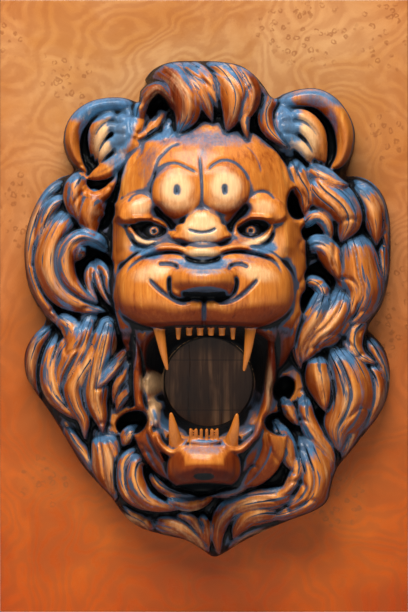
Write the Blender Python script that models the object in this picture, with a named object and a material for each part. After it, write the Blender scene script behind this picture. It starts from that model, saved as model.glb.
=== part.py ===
"""Wooden lion relief: a roaring lion's head carved in one piece, set on a burl-veneered panel.

Metres, +Z up. The lion faces -Y. The origin is the centre of the panel's back face.
The carving is laid out on the panel in millimetres: across from the panel's left edge, down from
its top edge, and rise above the panel's face.
"""
import bmesh
import bpy
import math
import numpy as np

# Sizes of the panel, in millimetres
PANEL_WIDE = 408.0
PANEL_HIGH = 612.0
PANEL_THICK = 18.0
PANEL_EDGE = 0.8

# Sizes of the head and of the board in its mouth, in millimetres
GAP = 0.3
FACE_DEPTH = 150.0
THROAT_ACROSS = 208.5
THROAT_DOWN = 382.0
THROAT_RADIUS = 45.0
THROAT_RISE = 22.0
BOARD_RADIUS = 52.0
BOARD_THICK = 5.0
ROUND_SIDES = 64

# How finely the head is worked out
GRID_STEP = 2.0
VOXEL = 2.4
HEAD_TRIANGLES = 9150

# How far a cutting block reaches past what it cuts, in millimetres
MARGIN = 50.0

# Heights below the panel's face, where the carving is cut away, in millimetres
FAR = -30.0
PLATE_TOP = -8.0
PLATE_FOOT = -16.0

# The part of the panel that the height grid covers: across from and to, down from and to
GRID_ACROSS = (14.0, 400.0)
GRID_DOWN = (52.0, 568.0)

# How steeply the sides of a lock, a boss, a pit and a lip fall, in millimetres of rise to the millimetre
WALL = 14.0
DOME_WALL = 9.0
PIT_WALL = 11.0
LIP_WALL = 8.0

# The lips' rise at the sides of the mouth and how much higher they arch over the throat
LIP_RISE = 92.0
LIP_ARCH = 22.0

# How hollow the cheeks' inner walls are, and how much more the roof of the mouth is
WALL_BOW = 0.85
ROOF_BOW = 1.6

# A pit's floor: how far its bowl rises to its rim, and the share of its radius where its wall begins
PIT_BOWL = 10.0
PIT_SHARE = 0.8

# The head's outer edge: its rise, its steepness, and the width and depth over which it rounds off
EDGE_RISE = 3.0
EDGE_WALL = 26.0
EDGE_WIDE = 9.0
EDGE_DEEP = 15.0

# A lock's cross-section and taper: how square its shoulders are and how blunt its point is
SHOULDER = 2.1
TAPER = 0.78
THINNEST = 0.6

# How deep a lock's root is sunk under its neighbours, and over what share of its length
ROOT_SUNK = 10.0
ROOT_SHARE = 0.14

# The crease around a lock, and the grooves along it as shares of its width
CREASE_OFF = 1.0
CREASE_WIDE = 1.8
GROOVE_WIDE = 0.020
GROOVE_LEAST = 0.75
GROOVE_DEEP = 0.075

# How far each lock spreads beyond its drawn width, so that neighbours meet in a crease
SPREAD = 1.34

# Points worked out on a curve: between two drawn points, and along the whole of a lock
FINE_POINTS = 24
CURVE_POINTS = 56
OUTLINE_POINTS = 280

# The head's outline, clockwise from the notch beside the left ear
OUTLINE = (
    (139, 103), (141, 89), (149, 74), (160, 66), (175, 62), (192, 61.5), (208, 61.5), (225, 63), (241, 66.5),
    (255, 76), (265, 88), (273, 99), (284, 94), (299, 89.5), (317, 89), (334, 97), (347, 112), (354.5, 130),
    (354, 149), (349, 165), (345, 176), (357, 176.5), (371, 182), (383, 196), (389, 216), (390.5, 240),
    (390, 264), (387, 287), (380, 308), (369, 326), (379, 339), (387, 356), (390, 376), (387, 397),
    (378, 416), (364, 434), (349, 453), (337, 468), (331, 485), (327, 501), (313, 511), (292, 519),
    (268, 529), (244, 540.5), (226, 551.5), (215, 557.5), (203, 550), (186, 540), (163, 534.5), (142, 528),
    (125, 516), (112, 498), (96, 481), (81, 463), (66, 438), (50, 412), (35, 391), (26, 374), (25, 354),
    (32, 338), (46, 321), (36, 303), (28, 284), (24.5, 258), (26, 234), (33, 211), (45, 190), (60, 178),
    (74, 172), (67, 157), (63.5, 143), (66, 126), (75, 112), (90, 102), (107, 98), (124, 98), (139, 103),
)

# Each lock: its name, the path of its crest, its width, its rise at root, middle and tip, its grooves
EARS = (
    ("left ear inner lobe", [(126, 124), (108, 122), (95, 134), (92, 158)], 12, (56, 56, 38), 0),
    ("left ear second lobe", [(127, 134), (110, 133), (101, 144), (97, 161)], 9, (58, 58, 40), 0),
    ("left ear lower lobe", [(134, 140), (124, 156), (109, 170), (88, 180)], 18, (60, 64, 50), 1),
    ("left ear bowl", [(84, 172), (82, 186), (91, 197), (104, 196), (115, 184), (119, 174)],
     8, (50, 56, 60), 0),
    ("left ear rim", [(138, 106), (112, 103), (91, 109), (76, 125), (72, 143), (77, 160), (87, 173)],
     16, (62, 64, 44), 0),
    ("right ear inner lobe", [(284, 124), (302, 124), (316, 135), (320, 153), (323, 172)],
     19, (62, 60, 42), 2),
    ("right ear lower lobe", [(280, 146), (293, 149), (306, 158), (316, 172)], 11, (56, 58, 46), 0),
    ("right ear rim", [(272, 108), (298, 99), (318, 99), (334, 111), (343, 128), (344, 148), (338, 163),
                       (325, 174)], 16, (62, 64, 44), 0),
)
TUFT = (
    ("curl tongue", [(166, 110), (161, 121), (151, 132), (138, 142)], 9, (60, 70, 66), 1),
    ("curl small tongue", [(174, 121), (168, 131), (165, 143)], 7, (66, 72, 68), 0),
    ("curl rim", [(139, 129), (141, 112), (147, 99), (158, 91), (168, 98), (173, 112)], 8, (62, 84, 82), 0),
    ("curl body", [(158, 68), (175, 82), (186, 100), (187, 118), (178, 138)], 23, (56, 96, 78), 0),
    ("second strand", [(170, 64), (190, 80), (203, 99), (213, 125)], 15, (50, 90, 74), 0),
    ("third strand", [(184, 63), (203, 78), (213, 94), (219, 116)], 9, (50, 88, 74), 0),
    ("far right strand", [(232, 65), (248, 74), (259, 86), (267, 101)], 12, (44, 70, 70), 0),
    ("middle lock", [(200, 62), (221, 76), (233, 96), (233, 114), (226, 135)], 23, (50, 96, 82), 0),
    ("right strands", [(218, 63), (240, 77), (250, 95), (249, 111), (240, 128)], 14, (48, 90, 80), 1),
    ("thin strand", [(253, 96), (248, 110), (244, 124), (247, 143)], 7, (72, 88, 84), 0),
    ("outer right curve", [(262, 84), (269, 100), (264, 115), (268, 133), (285, 149)], 11, (62, 80, 78), 0),
)
MANE_LEFT = (
    ("outer crest", [(76, 180), (54, 189), (39, 211), (30, 240), (29, 268), (37, 292), (50, 311), (65, 329)],
     19, (34, 48, 40), 0),
    ("outer crest strand", [(72, 196), (54, 207), (45, 225), (39, 246), (33, 264)], 11, (44, 50, 40), 0),
    ("big crescent", [(73, 212), (62, 227), (54, 245), (51, 263), (55, 281), (67, 296), (86, 306),
                      (107, 312)], 22, (52, 58, 46), 0),
    ("inner crescent", [(106, 247), (96, 240), (82, 238), (70, 248), (66, 262), (70, 279), (82, 292),
                        (98, 303)], 13, (52, 60, 52), 0),
    ("crescent tongue", [(84, 246), (80, 252), (77, 262)], 9, (54, 52, 44), 0),
    ("curl strand one", [(96, 261), (90, 274), (92, 289), (99, 303)], 7, (40, 48, 48), 0),
    ("curl strand two", [(97, 262), (99, 278), (106, 294), (114, 309)], 7, (40, 50, 50), 0),
    ("curl strand three", [(98, 261), (107, 273), (112, 290), (120, 308)], 7, (42, 56, 60), 0),
    ("under ear left tip", [(83, 174), (76, 190), (76, 207), (81, 225)], 15, (50, 58, 44), 0),
    ("under ear right tip", [(104, 197), (94, 205), (90, 219), (96, 236)], 21, (56, 56, 46), 0),
    ("low outer lock", [(51, 326), (38, 340), (31, 358), (30, 377), (34, 395), (40, 414)],
     17, (36, 44, 34), 0),
    ("low second lock", [(60, 336), (53, 356), (51, 376), (56, 394), (68, 408), (82, 420)],
     14, (42, 52, 46), 0),
    ("broad lock", [(90, 322), (84, 342), (74, 361), (66, 379), (67, 403)], 29, (58, 58, 44), 1),
    ("outer end lock", [(58, 316), (71, 326), (74, 340), (68, 352)], 14, (44, 52, 48), 0),
    ("s lock", [(101, 332), (95, 352), (83, 370), (75, 387), (78, 404), (85, 419), (86, 437)],
     16, (60, 58, 46), 0),
    ("inner s lock", [(109, 326), (103, 352), (98, 375), (96, 398), (101, 416), (104, 431)],
     22, (68, 60, 46), 1),
    ("cross strand one", [(130, 349), (120, 361), (110, 373), (99, 387)], 10, (62, 62, 58), 1),
    ("cross strand two", [(132, 358), (127, 373), (119, 385), (114, 402)], 9, (60, 60, 50), 0),
    ("cross strand three", [(134, 373), (130, 388), (122, 399), (117, 411)], 9, (58, 56, 46), 1),
)
MANE_RIGHT = (
    ("outer top crest", [(350, 178), (370, 188), (381, 206), (385, 227), (389, 258)], 16, (36, 44, 34), 0),
    ("outer low crest", [(381, 240), (382, 262), (381, 282), (376, 300), (364, 326)], 16, (36, 42, 34), 0),
    ("top inner lock", [(352, 186), (366, 202), (373, 222), (375, 247)], 18, (44, 52, 40), 0),
    ("narrow leaf", [(289, 162), (298, 180), (306, 196), (304, 218)], 17, (64, 66, 54), 1),
    ("ear knob", [(306, 167), (319, 177), (333, 184), (346, 186)], 14, (58, 66, 62), 0),
    ("double lock", [(309, 177), (322, 193), (338, 207), (346, 222), (339, 243)], 27, (62, 70, 52), 1),
    ("arch over first hole", [(303, 226), (314, 217), (325, 224), (331, 247)], 10, (56, 60, 46), 0),
    ("arch over second hole", [(306, 248), (317, 245), (328, 253), (339, 281)], 16, (56, 60, 50), 1),
    ("third curl", [(303, 286), (311, 282), (320, 289), (326, 310)], 10, (50, 56, 54), 0),
    ("big notched lock", [(349, 236), (354, 255), (357, 275), (361, 292), (354, 313), (342, 331)],
     33, (54, 60, 46), 1),
    ("strand to point", [(323, 292), (315, 314), (304, 332), (298, 348), (300, 368)], 17, (60, 66, 50), 0),
    ("lock to point", [(343, 292), (337, 310), (326, 325), (312, 338), (301, 362)], 27, (56, 64, 56), 1),
    ("crescent tip", [(364, 318), (353, 331), (351, 345), (358, 356), (374, 363)], 15, (44, 50, 42), 0),
    ("outermost lock", [(364, 336), (376, 354), (384, 374), (385, 392), (378, 411), (364, 430)],
     14, (32, 38, 28), 0),
    ("outer lock", [(363, 362), (374, 380), (375, 400), (368, 418), (354, 440)], 16, (40, 44, 34), 0),
    ("big lock", [(332, 350), (343, 371), (349, 392), (345, 411), (336, 430), (338, 450)],
     34, (56, 62, 44), 1),
    ("narrow lock", [(315, 356), (318, 376), (322, 394), (324, 410)], 19, (58, 60, 50), 1),
    ("low lock", [(361, 414), (352, 428), (347, 443), (341, 460)], 14, (40, 40, 28), 0),
    ("strand", [(303, 396), (306, 418), (315, 436), (327, 452), (334, 472)], 13, (50, 52, 36), 0),
    ("lobe lock", [(298, 434), (307, 456), (313, 480), (306, 498), (289, 509), (268, 515)],
     33, (50, 58, 38), 1),
    ("lip of the lobe lock", [(297, 452), (295, 472), (286, 488), (270, 496)], 9, (54, 56, 52), 0),
    ("curl by the jaw", [(274, 424), (280, 438), (287, 453), (293, 470)], 17, (58, 60, 50), 1),
    ("upper curl by the jaw", [(283, 400), (290, 412), (297, 424)], 9, (50, 54, 50), 0),
)
BEARD = (
    ("left edge strip", [(46, 402), (51, 420), (64, 440), (77, 458), (88, 477), (104, 500)],
     13, (26, 30, 24), 0),
    ("left second strip", [(64, 424), (74, 440), (85, 455), (95, 474), (112, 502)], 11, (32, 38, 30), 0),
    ("left upright lock", [(103, 434), (109, 456), (111, 476), (115, 501)], 24, (48, 52, 38), 2),
    ("small inner curl", [(137, 428), (130, 434), (123, 446)], 11, (44, 48, 42), 0),
    ("bottom left lock", [(117, 504), (129, 516), (143, 523), (154, 537)], 21, (26, 34, 28), 0),
    ("bottom arch lock", [(156, 520), (177, 524), (192, 534), (201, 546), (208, 558)], 23, (38, 44, 30), 0),
    ("bottom thin strand", [(176, 511), (190, 516), (199, 526), (206, 542)], 7, (44, 48, 40), 0),
    ("bottom short strand", [(200, 512), (207, 524), (209, 546)], 6, (44, 46, 36), 0),
    ("right bottom band", [(312, 506), (284, 522), (258, 528), (240, 537), (226, 553)],
     15, (30, 32, 26), 0),
    ("hook lock", [(296, 488), (276, 496), (252, 499), (233, 505), (221, 518), (217, 534), (219, 553)],
     17, (50, 54, 34), 0),
    ("leaf lock", [(280, 511), (263, 510), (248, 514), (239, 524), (233, 536)], 17, (40, 50, 36), 0),
    ("crescent outer ridge", [(139, 448), (127, 458), (124, 476), (129, 492), (141, 503), (154, 509)],
     10, (56, 56, 50), 0),
    ("crescent inner ridge", [(147, 457), (137, 461), (135, 476), (141, 491), (153, 501), (177, 508)],
     14, (60, 62, 52), 0),
    ("under chin strand", [(165, 496), (178, 501), (190, 503), (203, 500), (216, 492)], 9, (50, 54, 44), 0),
)

# Deep hollows in the curls: centre across and down, half width, half height, floor, turn in degrees
HOLLOWS = (
    ("left curl", 91, 266, 25, 20, 12, 0), ("under the left ear", 104, 215, 11, 18, 16, 15),
    ("first hole on the right", 316, 233, 15, 12, 12, 0), ("second hole", 321, 276, 18, 16, 12, 0),
    ("third hole", 310, 303, 10, 14, 14, 0), ("left jaw curl", 131, 422, 17, 12, 12, -25),
    ("right jaw curl", 284, 388, 11, 14, 12, 20), ("lower right jaw curl", 281, 422, 15, 11, 12, 10),
    ("beside the narrow leaf", 297, 205, 10, 15, 18, 0), ("right strand", 320, 418, 9, 12, 16, 0),
    ("behind the double lock", 361, 228, 8, 14, 18, -10), ("under the chin", 205, 490, 46, 9, 36, 0),
    ("left cross strands", 113, 380, 8, 12, 20, 20), ("left ear", 102, 140, 21, 28, 22, 0),
    ("right ear", 315, 138, 22, 34, 22, 0),
)


def spline(path, count=CURVE_POINTS):
    """A smooth curve through the path's points, as evenly spaced places."""
    p = np.array(path, float)
    p = np.vstack([2 * p[0] - p[1], p, 2 * p[-1] - p[-2]])
    pieces = []
    for a, b, c, d in zip(p[:-3], p[1:-2], p[2:-1], p[3:]):
        t = np.linspace(0, 1, FINE_POINTS, endpoint=False)[:, None]
        pieces.append(b + 0.5 * ((c - a) * t + (2 * a - 5 * b + 4 * c - d) * t**2
                                 + (3 * b - a - 3 * c + d) * t**3))
    fine = np.vstack(pieces + [p[-2][None]])
    run = np.concatenate([[0], np.cumsum(np.linalg.norm(np.diff(fine, axis=0), axis=1))])
    at = np.linspace(0, run[-1], count)
    return np.column_stack([np.interp(at, run, fine[:, k]) for k in range(fine.shape[1])])


def smooth_max(a, b, k):
    """The larger of two heights, rounded over a height k where they cross."""
    share = np.clip(0.5 + 0.5 * (a - b) / k, 0, 1)
    return b + (a - b) * share + k * share * (1 - share)


def smooth_step(a, b, x):
    """Zero at a, one at b, eased between."""
    t = np.clip((x - a) / (b - a), 0, 1)
    return t * t * (3 - 2 * t)


class Carving:
    """The rise of the wood over a grid of places, carved by the methods below."""

    def __init__(self, step):
        self.step = step
        across = np.arange(*GRID_ACROSS, step)
        down = np.arange(*GRID_DOWN, step)
        self.x, self.y = np.meshgrid(across, down)
        self.h = np.full(self.x.shape, FAR)

    def window(self, curve, reach):
        """The part of the grid within reach of a curve."""
        low = curve.min(0) - reach
        high = curve.max(0) + reach
        first = (low - (self.x[0, 0], self.y[0, 0])) / self.step
        last = (high - (self.x[0, 0], self.y[0, 0])) / self.step
        rows = slice(max(0, int(first[1])), min(self.x.shape[0], int(last[1]) + 2))
        columns = slice(max(0, int(first[0])), min(self.x.shape[1], int(last[0]) + 2))
        return rows, columns

    def along(self, path, reach):
        """For places near a path: how far along it they are (0 to 1), their distance and their side."""
        curve = spline(path)
        win = self.window(curve, reach)
        px = self.x[win].ravel()[:, None]
        py = self.y[win].ravel()[:, None]
        a = curve[:-1]
        d = curve[1:] - a
        s = ((px - a[:, 0]) * d[:, 0] + (py - a[:, 1]) * d[:, 1]) / (d**2).sum(1)
        s = np.clip(s, 0, 1)
        gx = px - (a[:, 0] + s * d[:, 0])
        gy = py - (a[:, 1] + s * d[:, 1])
        dist = np.hypot(gx, gy)
        k = dist.argmin(1)
        r = np.arange(len(k))
        t = (k + s[r, k]) / len(d)
        side = np.sign(d[k, 0] * gy[r, k] - d[k, 1] * gx[r, k])
        shape = self.x[win].shape
        return win, t.reshape(shape), dist[r, k].reshape(shape), side.reshape(shape)

    def lock(self, path, wide, rise, grooves=0, root=0.62, belly=0.42, crown=0.85, moat=2.5,
             blend=0.0):
        """A lock of hair: it swells from its root to its belly and tapers to a point."""
        win, t, dist, side = self.along(path, wide / 2 + 8)
        growing = root + (1 - root) * np.sin(np.pi / 2 * t / belly)
        tapering = np.cos(np.pi / 2 * np.clip((t - belly) / (1 - belly), 0, 1)) ** TAPER
        half = np.maximum(wide / 2 * np.where(t < belly, growing, tapering), THINNEST)
        u = dist / half
        at_root, at_middle, at_tip = rise
        top = at_root * (1 - t) * (1 - 2 * t) + 4 * at_middle * t * (1 - t) + at_tip * t * (2 * t - 1)
        top -= ROOT_SUNK * np.clip(1 - t / ROOT_SHARE, 0, 1) ** 2
        drop = crown * half
        inside = top - drop * u**SHOULDER
        outside = top - drop - WALL * (dist - half)
        z = np.where(u < 1, inside, outside)
        fade = smooth_step(0.02, 0.15, t) * smooth_step(1.0, 0.7, t)
        for k in range(grooves):
            place = (k + 1) / (grooves + 1) * 2 - 1
            past = (side * u - place) * half / (GROOVE_WIDE * wide + GROOVE_LEAST)
            z -= (GROOVE_DEEP * wide + GROOVE_LEAST) * np.exp(-past**2) * fade
        ground = self.h[win]
        past = (dist - half - CREASE_OFF) / CREASE_WIDE
        ground = ground - moat * np.exp(-past**2) * (z < ground)
        self.h[win] = smooth_max(ground, z, blend) if blend else np.maximum(ground, z)

    def groove(self, path, wide, depth, ends=0.15):
        """A line cut along a path, fading at its ends."""
        win, t, dist, _ = self.along(path, 4 * wide)
        fade = smooth_step(0, ends, t) * smooth_step(1, 1 - ends, t) if ends else 1.0
        self.h[win] -= depth * np.exp(-(dist / wide) ** 2) * fade

    def welt(self, path, wide, height, ends=0.15):
        """A soft ridge raised along a path."""
        self.groove(path, wide, -height, ends)

    def ellipse(self, across, down, rx, ry, turn, power):
        """The distance from an ellipse's centre, one on its rim."""
        c = math.cos(math.radians(turn))
        s = math.sin(math.radians(turn))
        dx = self.x - across
        dy = self.y - down
        a = np.abs(c * dx + s * dy) / rx
        b = np.abs(-s * dx + c * dy) / ry
        return (a**power + b**power) ** (1 / power)

    def dome(self, across, down, rx, ry, top, foot, blend=4.0, turn=0.0, power=2.0, full=0.5):
        """A rounded boss on an ellipse."""
        rr = self.ellipse(across, down, rx, ry, turn, power)
        within = foot + (top - foot) * np.clip(1 - rr**2, 0, 1) ** full
        z = np.where(rr < 1, within, foot - DOME_WALL * (rr - 1) * min(rx, ry))
        self.h = smooth_max(self.h, z, blend) if blend else np.maximum(self.h, z)

    def pit(self, across, down, rx, ry, floor, blend=2.0, turn=0.0, steep=PIT_WALL):
        """A hollow cut down to a bowl-shaped floor inside an ellipse."""
        rr = self.ellipse(across, down, rx, ry, turn, 2.0)
        z = floor + PIT_BOWL * np.minimum(rr, 1) ** 2
        z += steep * np.maximum(rr - PIT_SHARE, 0) * min(rx, ry)
        self.h = -smooth_max(-self.h, -z, blend)

    def trim(self, outline):
        """Cuts everything back to the head's outline."""
        curve = spline(outline, OUTLINE_POINTS)
        near = np.full(self.x.shape, np.inf)
        inside = np.zeros(self.x.shape, bool)
        for (ax, ay), (bx, by) in zip(curve[:-1], curve[1:]):
            dx = bx - ax
            dy = by - ay
            s = np.clip(((self.x - ax) * dx + (self.y - ay) * dy) / (dx * dx + dy * dy), 0, 1)
            near = np.minimum(near, np.hypot(self.x - ax - s * dx, self.y - ay - s * dy))
            crosses = (ay > self.y) != (by > self.y)
            if dy:
                inside ^= crosses & (self.x < ax + (self.y - ay) / dy * dx)
        within = np.where(inside, near, -near)
        past = 1 - np.clip(within / EDGE_WIDE, 0, 1)
        self.h -= EDGE_DEEP * past**2
        self.h = np.minimum(self.h, EDGE_RISE + EDGE_WALL * within)


def carve_face(c):
    # the whole face, the jaws and the forehead
    c.dome(208, 262, 97, 126, top=100, foot=60, blend=0, power=2.8, full=0.62)
    c.dome(206, 412, 70, 74, top=82, foot=56, power=2.4)
    c.dome(205, 186, 82, 62, top=110, foot=70, blend=14, full=0.9)
    # the two bosses over the brows and the bridge between the eyes
    c.dome(177.5, 197, 27, 30, top=116, foot=101, blend=9, full=1.0)
    c.dome(224.5, 193, 25.5, 29, top=116, foot=101, blend=9, full=1.0)
    c.dome(202, 228, 21, 24, top=117, foot=101, blend=6, power=2.2, full=0.8)
    # brows and cheekbones
    c.dome(141, 209, 17, 12, top=106, foot=92, blend=5, turn=-10, full=0.7)
    c.dome(262, 209, 17, 12, top=106, foot=92, blend=5, turn=10, full=0.7)
    c.welt([(124, 226), (127, 246)], 9, 6, ends=0)
    c.welt([(287, 224), (284, 246)], 9, 6, ends=0)
    # eye sockets and eyeballs
    c.pit(151, 230, 19, 9, floor=80, blend=3, turn=8, steep=4.5)
    c.pit(253, 229, 18, 9, floor=80, blend=3, turn=-8, steep=4.5)
    c.dome(154, 232.5, 10, 8, top=94, foot=84, blend=1)
    c.dome(251, 231.5, 10, 8, top=94, foot=84, blend=1)
    # muzzle and nose
    c.dome(204, 290, 88, 42, top=134, foot=94, blend=9, power=2.7, full=0.62)
    c.groove([(204, 292), (204, 330)], 12, 5, ends=0)
    c.dome(204, 279, 35, 17, top=FACE_DEPTH, foot=120, blend=9, power=2.3, full=0.75)


def carve_lines(c):
    # the rim that runs over the muzzle, and the lines above and below it
    c.lock([(119, 308), (120, 286), (127, 270), (139, 259), (152, 252), (166, 249), (180, 250), (191, 254),
            (203, 256), (214, 254), (225, 250), (240, 248), (255, 251), (270, 257), (281, 267), (288, 282),
            (289, 305)], 7, (84, 124, 84), root=0.8, moat=0, crown=0.5)
    c.groove([(125, 286), (130, 270), (142, 260), (153, 256), (166, 254), (178, 254), (189, 260),
              (203, 263.5), (216, 260.5), (228, 254), (245, 254), (262, 258), (275, 265), (285, 284)], 1.6, 4)
    c.dome(203, 253, 19, 8, top=124, foot=112, blend=2, power=2.2, full=0.6)
    c.groove([(184, 257), (192, 262), (203, 264.5), (214, 262), (222, 257)], 1.8, 6)
    c.groove([(160, 243), (178, 242), (190, 246), (203, 247.5), (216, 246), (228, 241), (242, 242)], 1.8, 6)
    c.groove([(186, 230), (195, 233), (203, 234), (212, 232), (218, 228)], 1.4, 3)
    # forehead lines
    c.groove([(154, 183), (158, 165), (165, 156), (173, 149), (184, 146)], 1.3, 2.2)
    c.groove([(243, 147), (251, 154), (257, 164), (261, 178)], 1.1, 1.2)
    c.groove([(128, 206), (134, 198), (143, 195), (153, 200)], 1.5, 2.6)
    c.groove([(248, 200), (257, 194), (267, 195), (275, 203)], 1.5, 2.6)
    c.groove([(153, 186), (157, 174), (167, 167), (177, 166), (188, 171), (200, 177)], 1.6, 3.0)
    c.groove([(205, 176), (214, 167), (224, 163), (235, 166), (245, 176), (248, 187)], 1.6, 3.0)
    c.groove([(199, 153), (201, 172), (202, 192)], 1.9, 3.0)
    c.groove([(202, 180), (201.5, 205), (201.5, 224)], 1.6, 3.0)
    c.groove([(182, 224), (190, 217), (201, 213), (212, 217), (220, 223)], 1.3, 1.2)
    for across in (177.5, 224.5):
        c.groove([(across, 189.5), (across, 194.5)], 2.2, 3.5, ends=0)
    # valleys beside the bridge
    c.groove([(151, 203), (159, 212), (169, 222), (179, 236)], 4.5, 14)
    c.groove([(252, 201), (243, 211), (233, 222), (226, 236)], 4.5, 14)
    # lids, bags and irises
    c.lock([(129, 226), (136, 238), (146, 244), (157, 242.5), (167, 238)], 5, (92, 98, 90),
           root=0.6, moat=1, crown=0.7)
    c.lock([(238, 239), (248, 244), (259, 242), (267, 236), (272, 225)], 5, (92, 98, 90),
           root=0.6, moat=1, crown=0.7)
    c.groove([(131, 232), (137, 244), (148, 248.5), (160, 244)], 1.5, 4)
    c.groove([(246, 247), (258, 248), (268, 242), (274, 231)], 1.5, 4)
    for across, down in ((155, 232.5), (250, 232)):
        ring = [(across + 4.2 * math.cos(a), down + 4.2 * math.sin(a)) for a in np.linspace(0, 6.2, 12)]
        c.groove(ring, 0.9, 2.2, ends=0)
        c.groove([(across - 0.8, down), (across + 0.8, down)], 1.4, 2.2, ends=0)
    c.welt([(130, 221), (142, 220), (155, 222), (168, 230)], 2.5, 6)
    c.welt([(236, 229), (247, 220), (259, 219), (273, 221)], 2.5, 6)
    # nostrils and lines of the upper lip
    c.groove([(148, 277), (158, 288), (168, 296), (178, 302), (191, 304)], 1.7, 5)
    c.groove([(259, 277), (250, 287), (240, 296), (228, 302), (214, 303)], 1.7, 5)
    c.groove([(171, 275), (170, 285), (172, 295), (182, 300), (194, 300)], 2.2, 12)
    c.groove([(234, 275), (236, 285), (232, 295), (221, 300), (212, 300)], 2.2, 12)
    c.groove([(178, 294), (190, 297), (204, 298), (218, 297), (230, 294)], 4.5, 9)
    c.groove([(158, 265), (169, 265), (177, 267), (178, 272)], 1.8, 5)
    c.groove([(249, 269), (239, 265), (230, 267), (228, 273)], 2.2, 7)
    c.groove([(204, 296), (204, 310), (204, 324)], 2.2, 8, ends=0)


def carve_mouth(c):
    # jowls
    c.lock([(272, 424), (266, 450), (252, 471), (232, 488)], 34, (74, 70, 50), root=0.8, crown=0.5)
    c.lock([(140, 412), (148, 438), (160, 462), (176, 482)], 20, (74, 72, 50), root=0.8, crown=0.5)
    # the open mouth: walls sloping in from the lips to the round throat
    dx = c.x - THROAT_ACROSS
    dy = c.y - THROAT_DOWN
    r = np.hypot(dx, dy) + 1e-6
    half_wide = 70.0
    half_high = np.where(dy < 0, 56.0, 58.0)
    corner = np.where(dy < 0, 5.0, 2.6)
    lip = (np.abs(dx / r / half_wide) ** corner + np.abs(dy / r / half_high) ** corner) ** (-1 / corner)
    part = (r - THROAT_RADIUS) / (lip - THROAT_RADIUS)
    upper = np.clip(-dy / r, 0, 1)
    lip_rise = LIP_RISE + LIP_ARCH * upper**2
    wall = THROAT_RISE + (lip_rise - THROAT_RISE) * np.clip(part, 0, None) ** (WALL_BOW + ROOF_BOW * upper)
    wall = np.where(r < THROAT_RADIUS, THROAT_RISE - WALL * (THROAT_RADIUS - r), wall)
    wall = np.where(part > 1, lip_rise + LIP_WALL * (r - lip), wall)
    c.h = np.minimum(c.h, wall)
    # folds inside the cheeks
    c.welt([(148, 374), (155, 380), (158, 388)], 6, 9)
    c.welt([(146, 397), (155, 402), (157, 415), (154, 428)], 3.5, 9)
    c.welt([(163, 400), (164, 408)], 4, 6)
    c.welt([(259, 388), (262, 400), (256, 412), (256, 426)], 3.5, 7)
    c.welt([(249, 408), (249, 424)], 4, 6)
    # corners of the lips
    c.lock([(134, 334), (138, 360), (139, 385), (141, 403), (148, 422), (155, 440), (164, 458)],
           7, (84, 88, 84), root=0.8, moat=0)
    c.lock([(270, 336), (271, 362), (268, 388), (265, 405), (260, 420), (254, 434), (243, 444), (234, 448)],
           7, (84, 90, 90), root=0.8, moat=0)
    # chin, lower lip and the cups round the lower fangs
    c.dome(204, 462, 35, 24, top=112, foot=84, blend=4, power=2.5, full=0.6)
    c.groove([(192, 471), (203, 473), (214, 471)], 5, 4)
    c.lock([(156, 428), (161, 442), (172, 450), (181, 446), (187, 438)], 6, (86, 96, 98), root=0.8, moat=0)
    c.lock([(221, 438), (228, 446), (239, 447), (249, 439), (257, 428)], 6, (98, 96, 86), root=0.8, moat=0)
    c.pit(174, 438, 9, 8, floor=70)
    c.pit(233, 438, 10, 7, floor=70)
    c.lock([(187, 438), (204, 440), (221, 438)], 6, (98, 102, 98), root=0.9, moat=0)


def carve_head(step):
    """The whole head's rise over the grid."""
    c = Carving(step)
    # ground under the mane, the ears and the tuft
    c.dome(207, 245, 172, 118, top=44, foot=12, blend=0, power=3.0)
    c.dome(207, 380, 172, 178, top=44, foot=12, power=1.6)
    c.dome(104, 142, 34, 36, top=26, foot=18, blend=3)
    c.dome(318, 136, 32, 40, top=26, foot=18, blend=3)
    c.dome(207, 114, 64, 53, top=68, foot=34, blend=3)
    carve_face(c)
    carve_lines(c)
    carve_mouth(c)
    for _, across, down, rx, ry, floor, turn in HOLLOWS:
        c.pit(across, down, rx, ry, floor, turn=turn)
    # roots of the ears, and the hollow inside the tuft's curl
    c.dome(127, 130, 21, 38, top=72, foot=40, blend=8, turn=6, full=0.9)
    c.dome(283, 126, 19, 34, top=72, foot=40, blend=8, turn=-8, full=0.9)
    c.pit(158, 108, 12, 16, floor=40, turn=10)
    for _, path, wide, rise, grooves in EARS:
        c.lock(path, wide * SPREAD, rise, grooves, root=0.9, moat=0.8, blend=3.0)
    for _, path, wide, rise, grooves in TUFT:
        c.lock(path, wide * SPREAD, rise, grooves, root=1.0)
    for group in (MANE_LEFT, MANE_RIGHT, BEARD):
        for _, path, wide, rise, grooves in group:
            c.lock(path, wide * SPREAD, rise, grooves)
    c.trim(OUTLINE)
    return c


# Teeth: the crest's path as (across, down, rise), and the radius at root and tip
UPPER_FANGS = (
    ([(157, 314, 92), (161, 334, 97), (164, 350, 98), (168, 369, 96)], 6.6, 1.2),
    ([(252, 314, 92), (249, 334, 97), (247, 350, 98), (243, 370, 96)], 6.6, 1.2),
)
LOWER_FANGS = (
    ([(178, 450, 80), (176, 438, 90), (174, 426, 97), (171.5, 410, 102)], 8.6, 1.0),
    ([(229, 450, 80), (231, 438, 90), (234, 427, 97), (236.5, 411, 102)], 8.6, 1.0),
)
UPPER_INCISORS = 6
UPPER_PITCH = 10.7
UPPER_FIRST = 178.8
LOWER_INCISORS = 6
LOWER_PITCH = 5.2
LOWER_FIRST = 191.0

# How quickly a tooth narrows from its root
TOOTH_TAPER = 0.7


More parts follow.
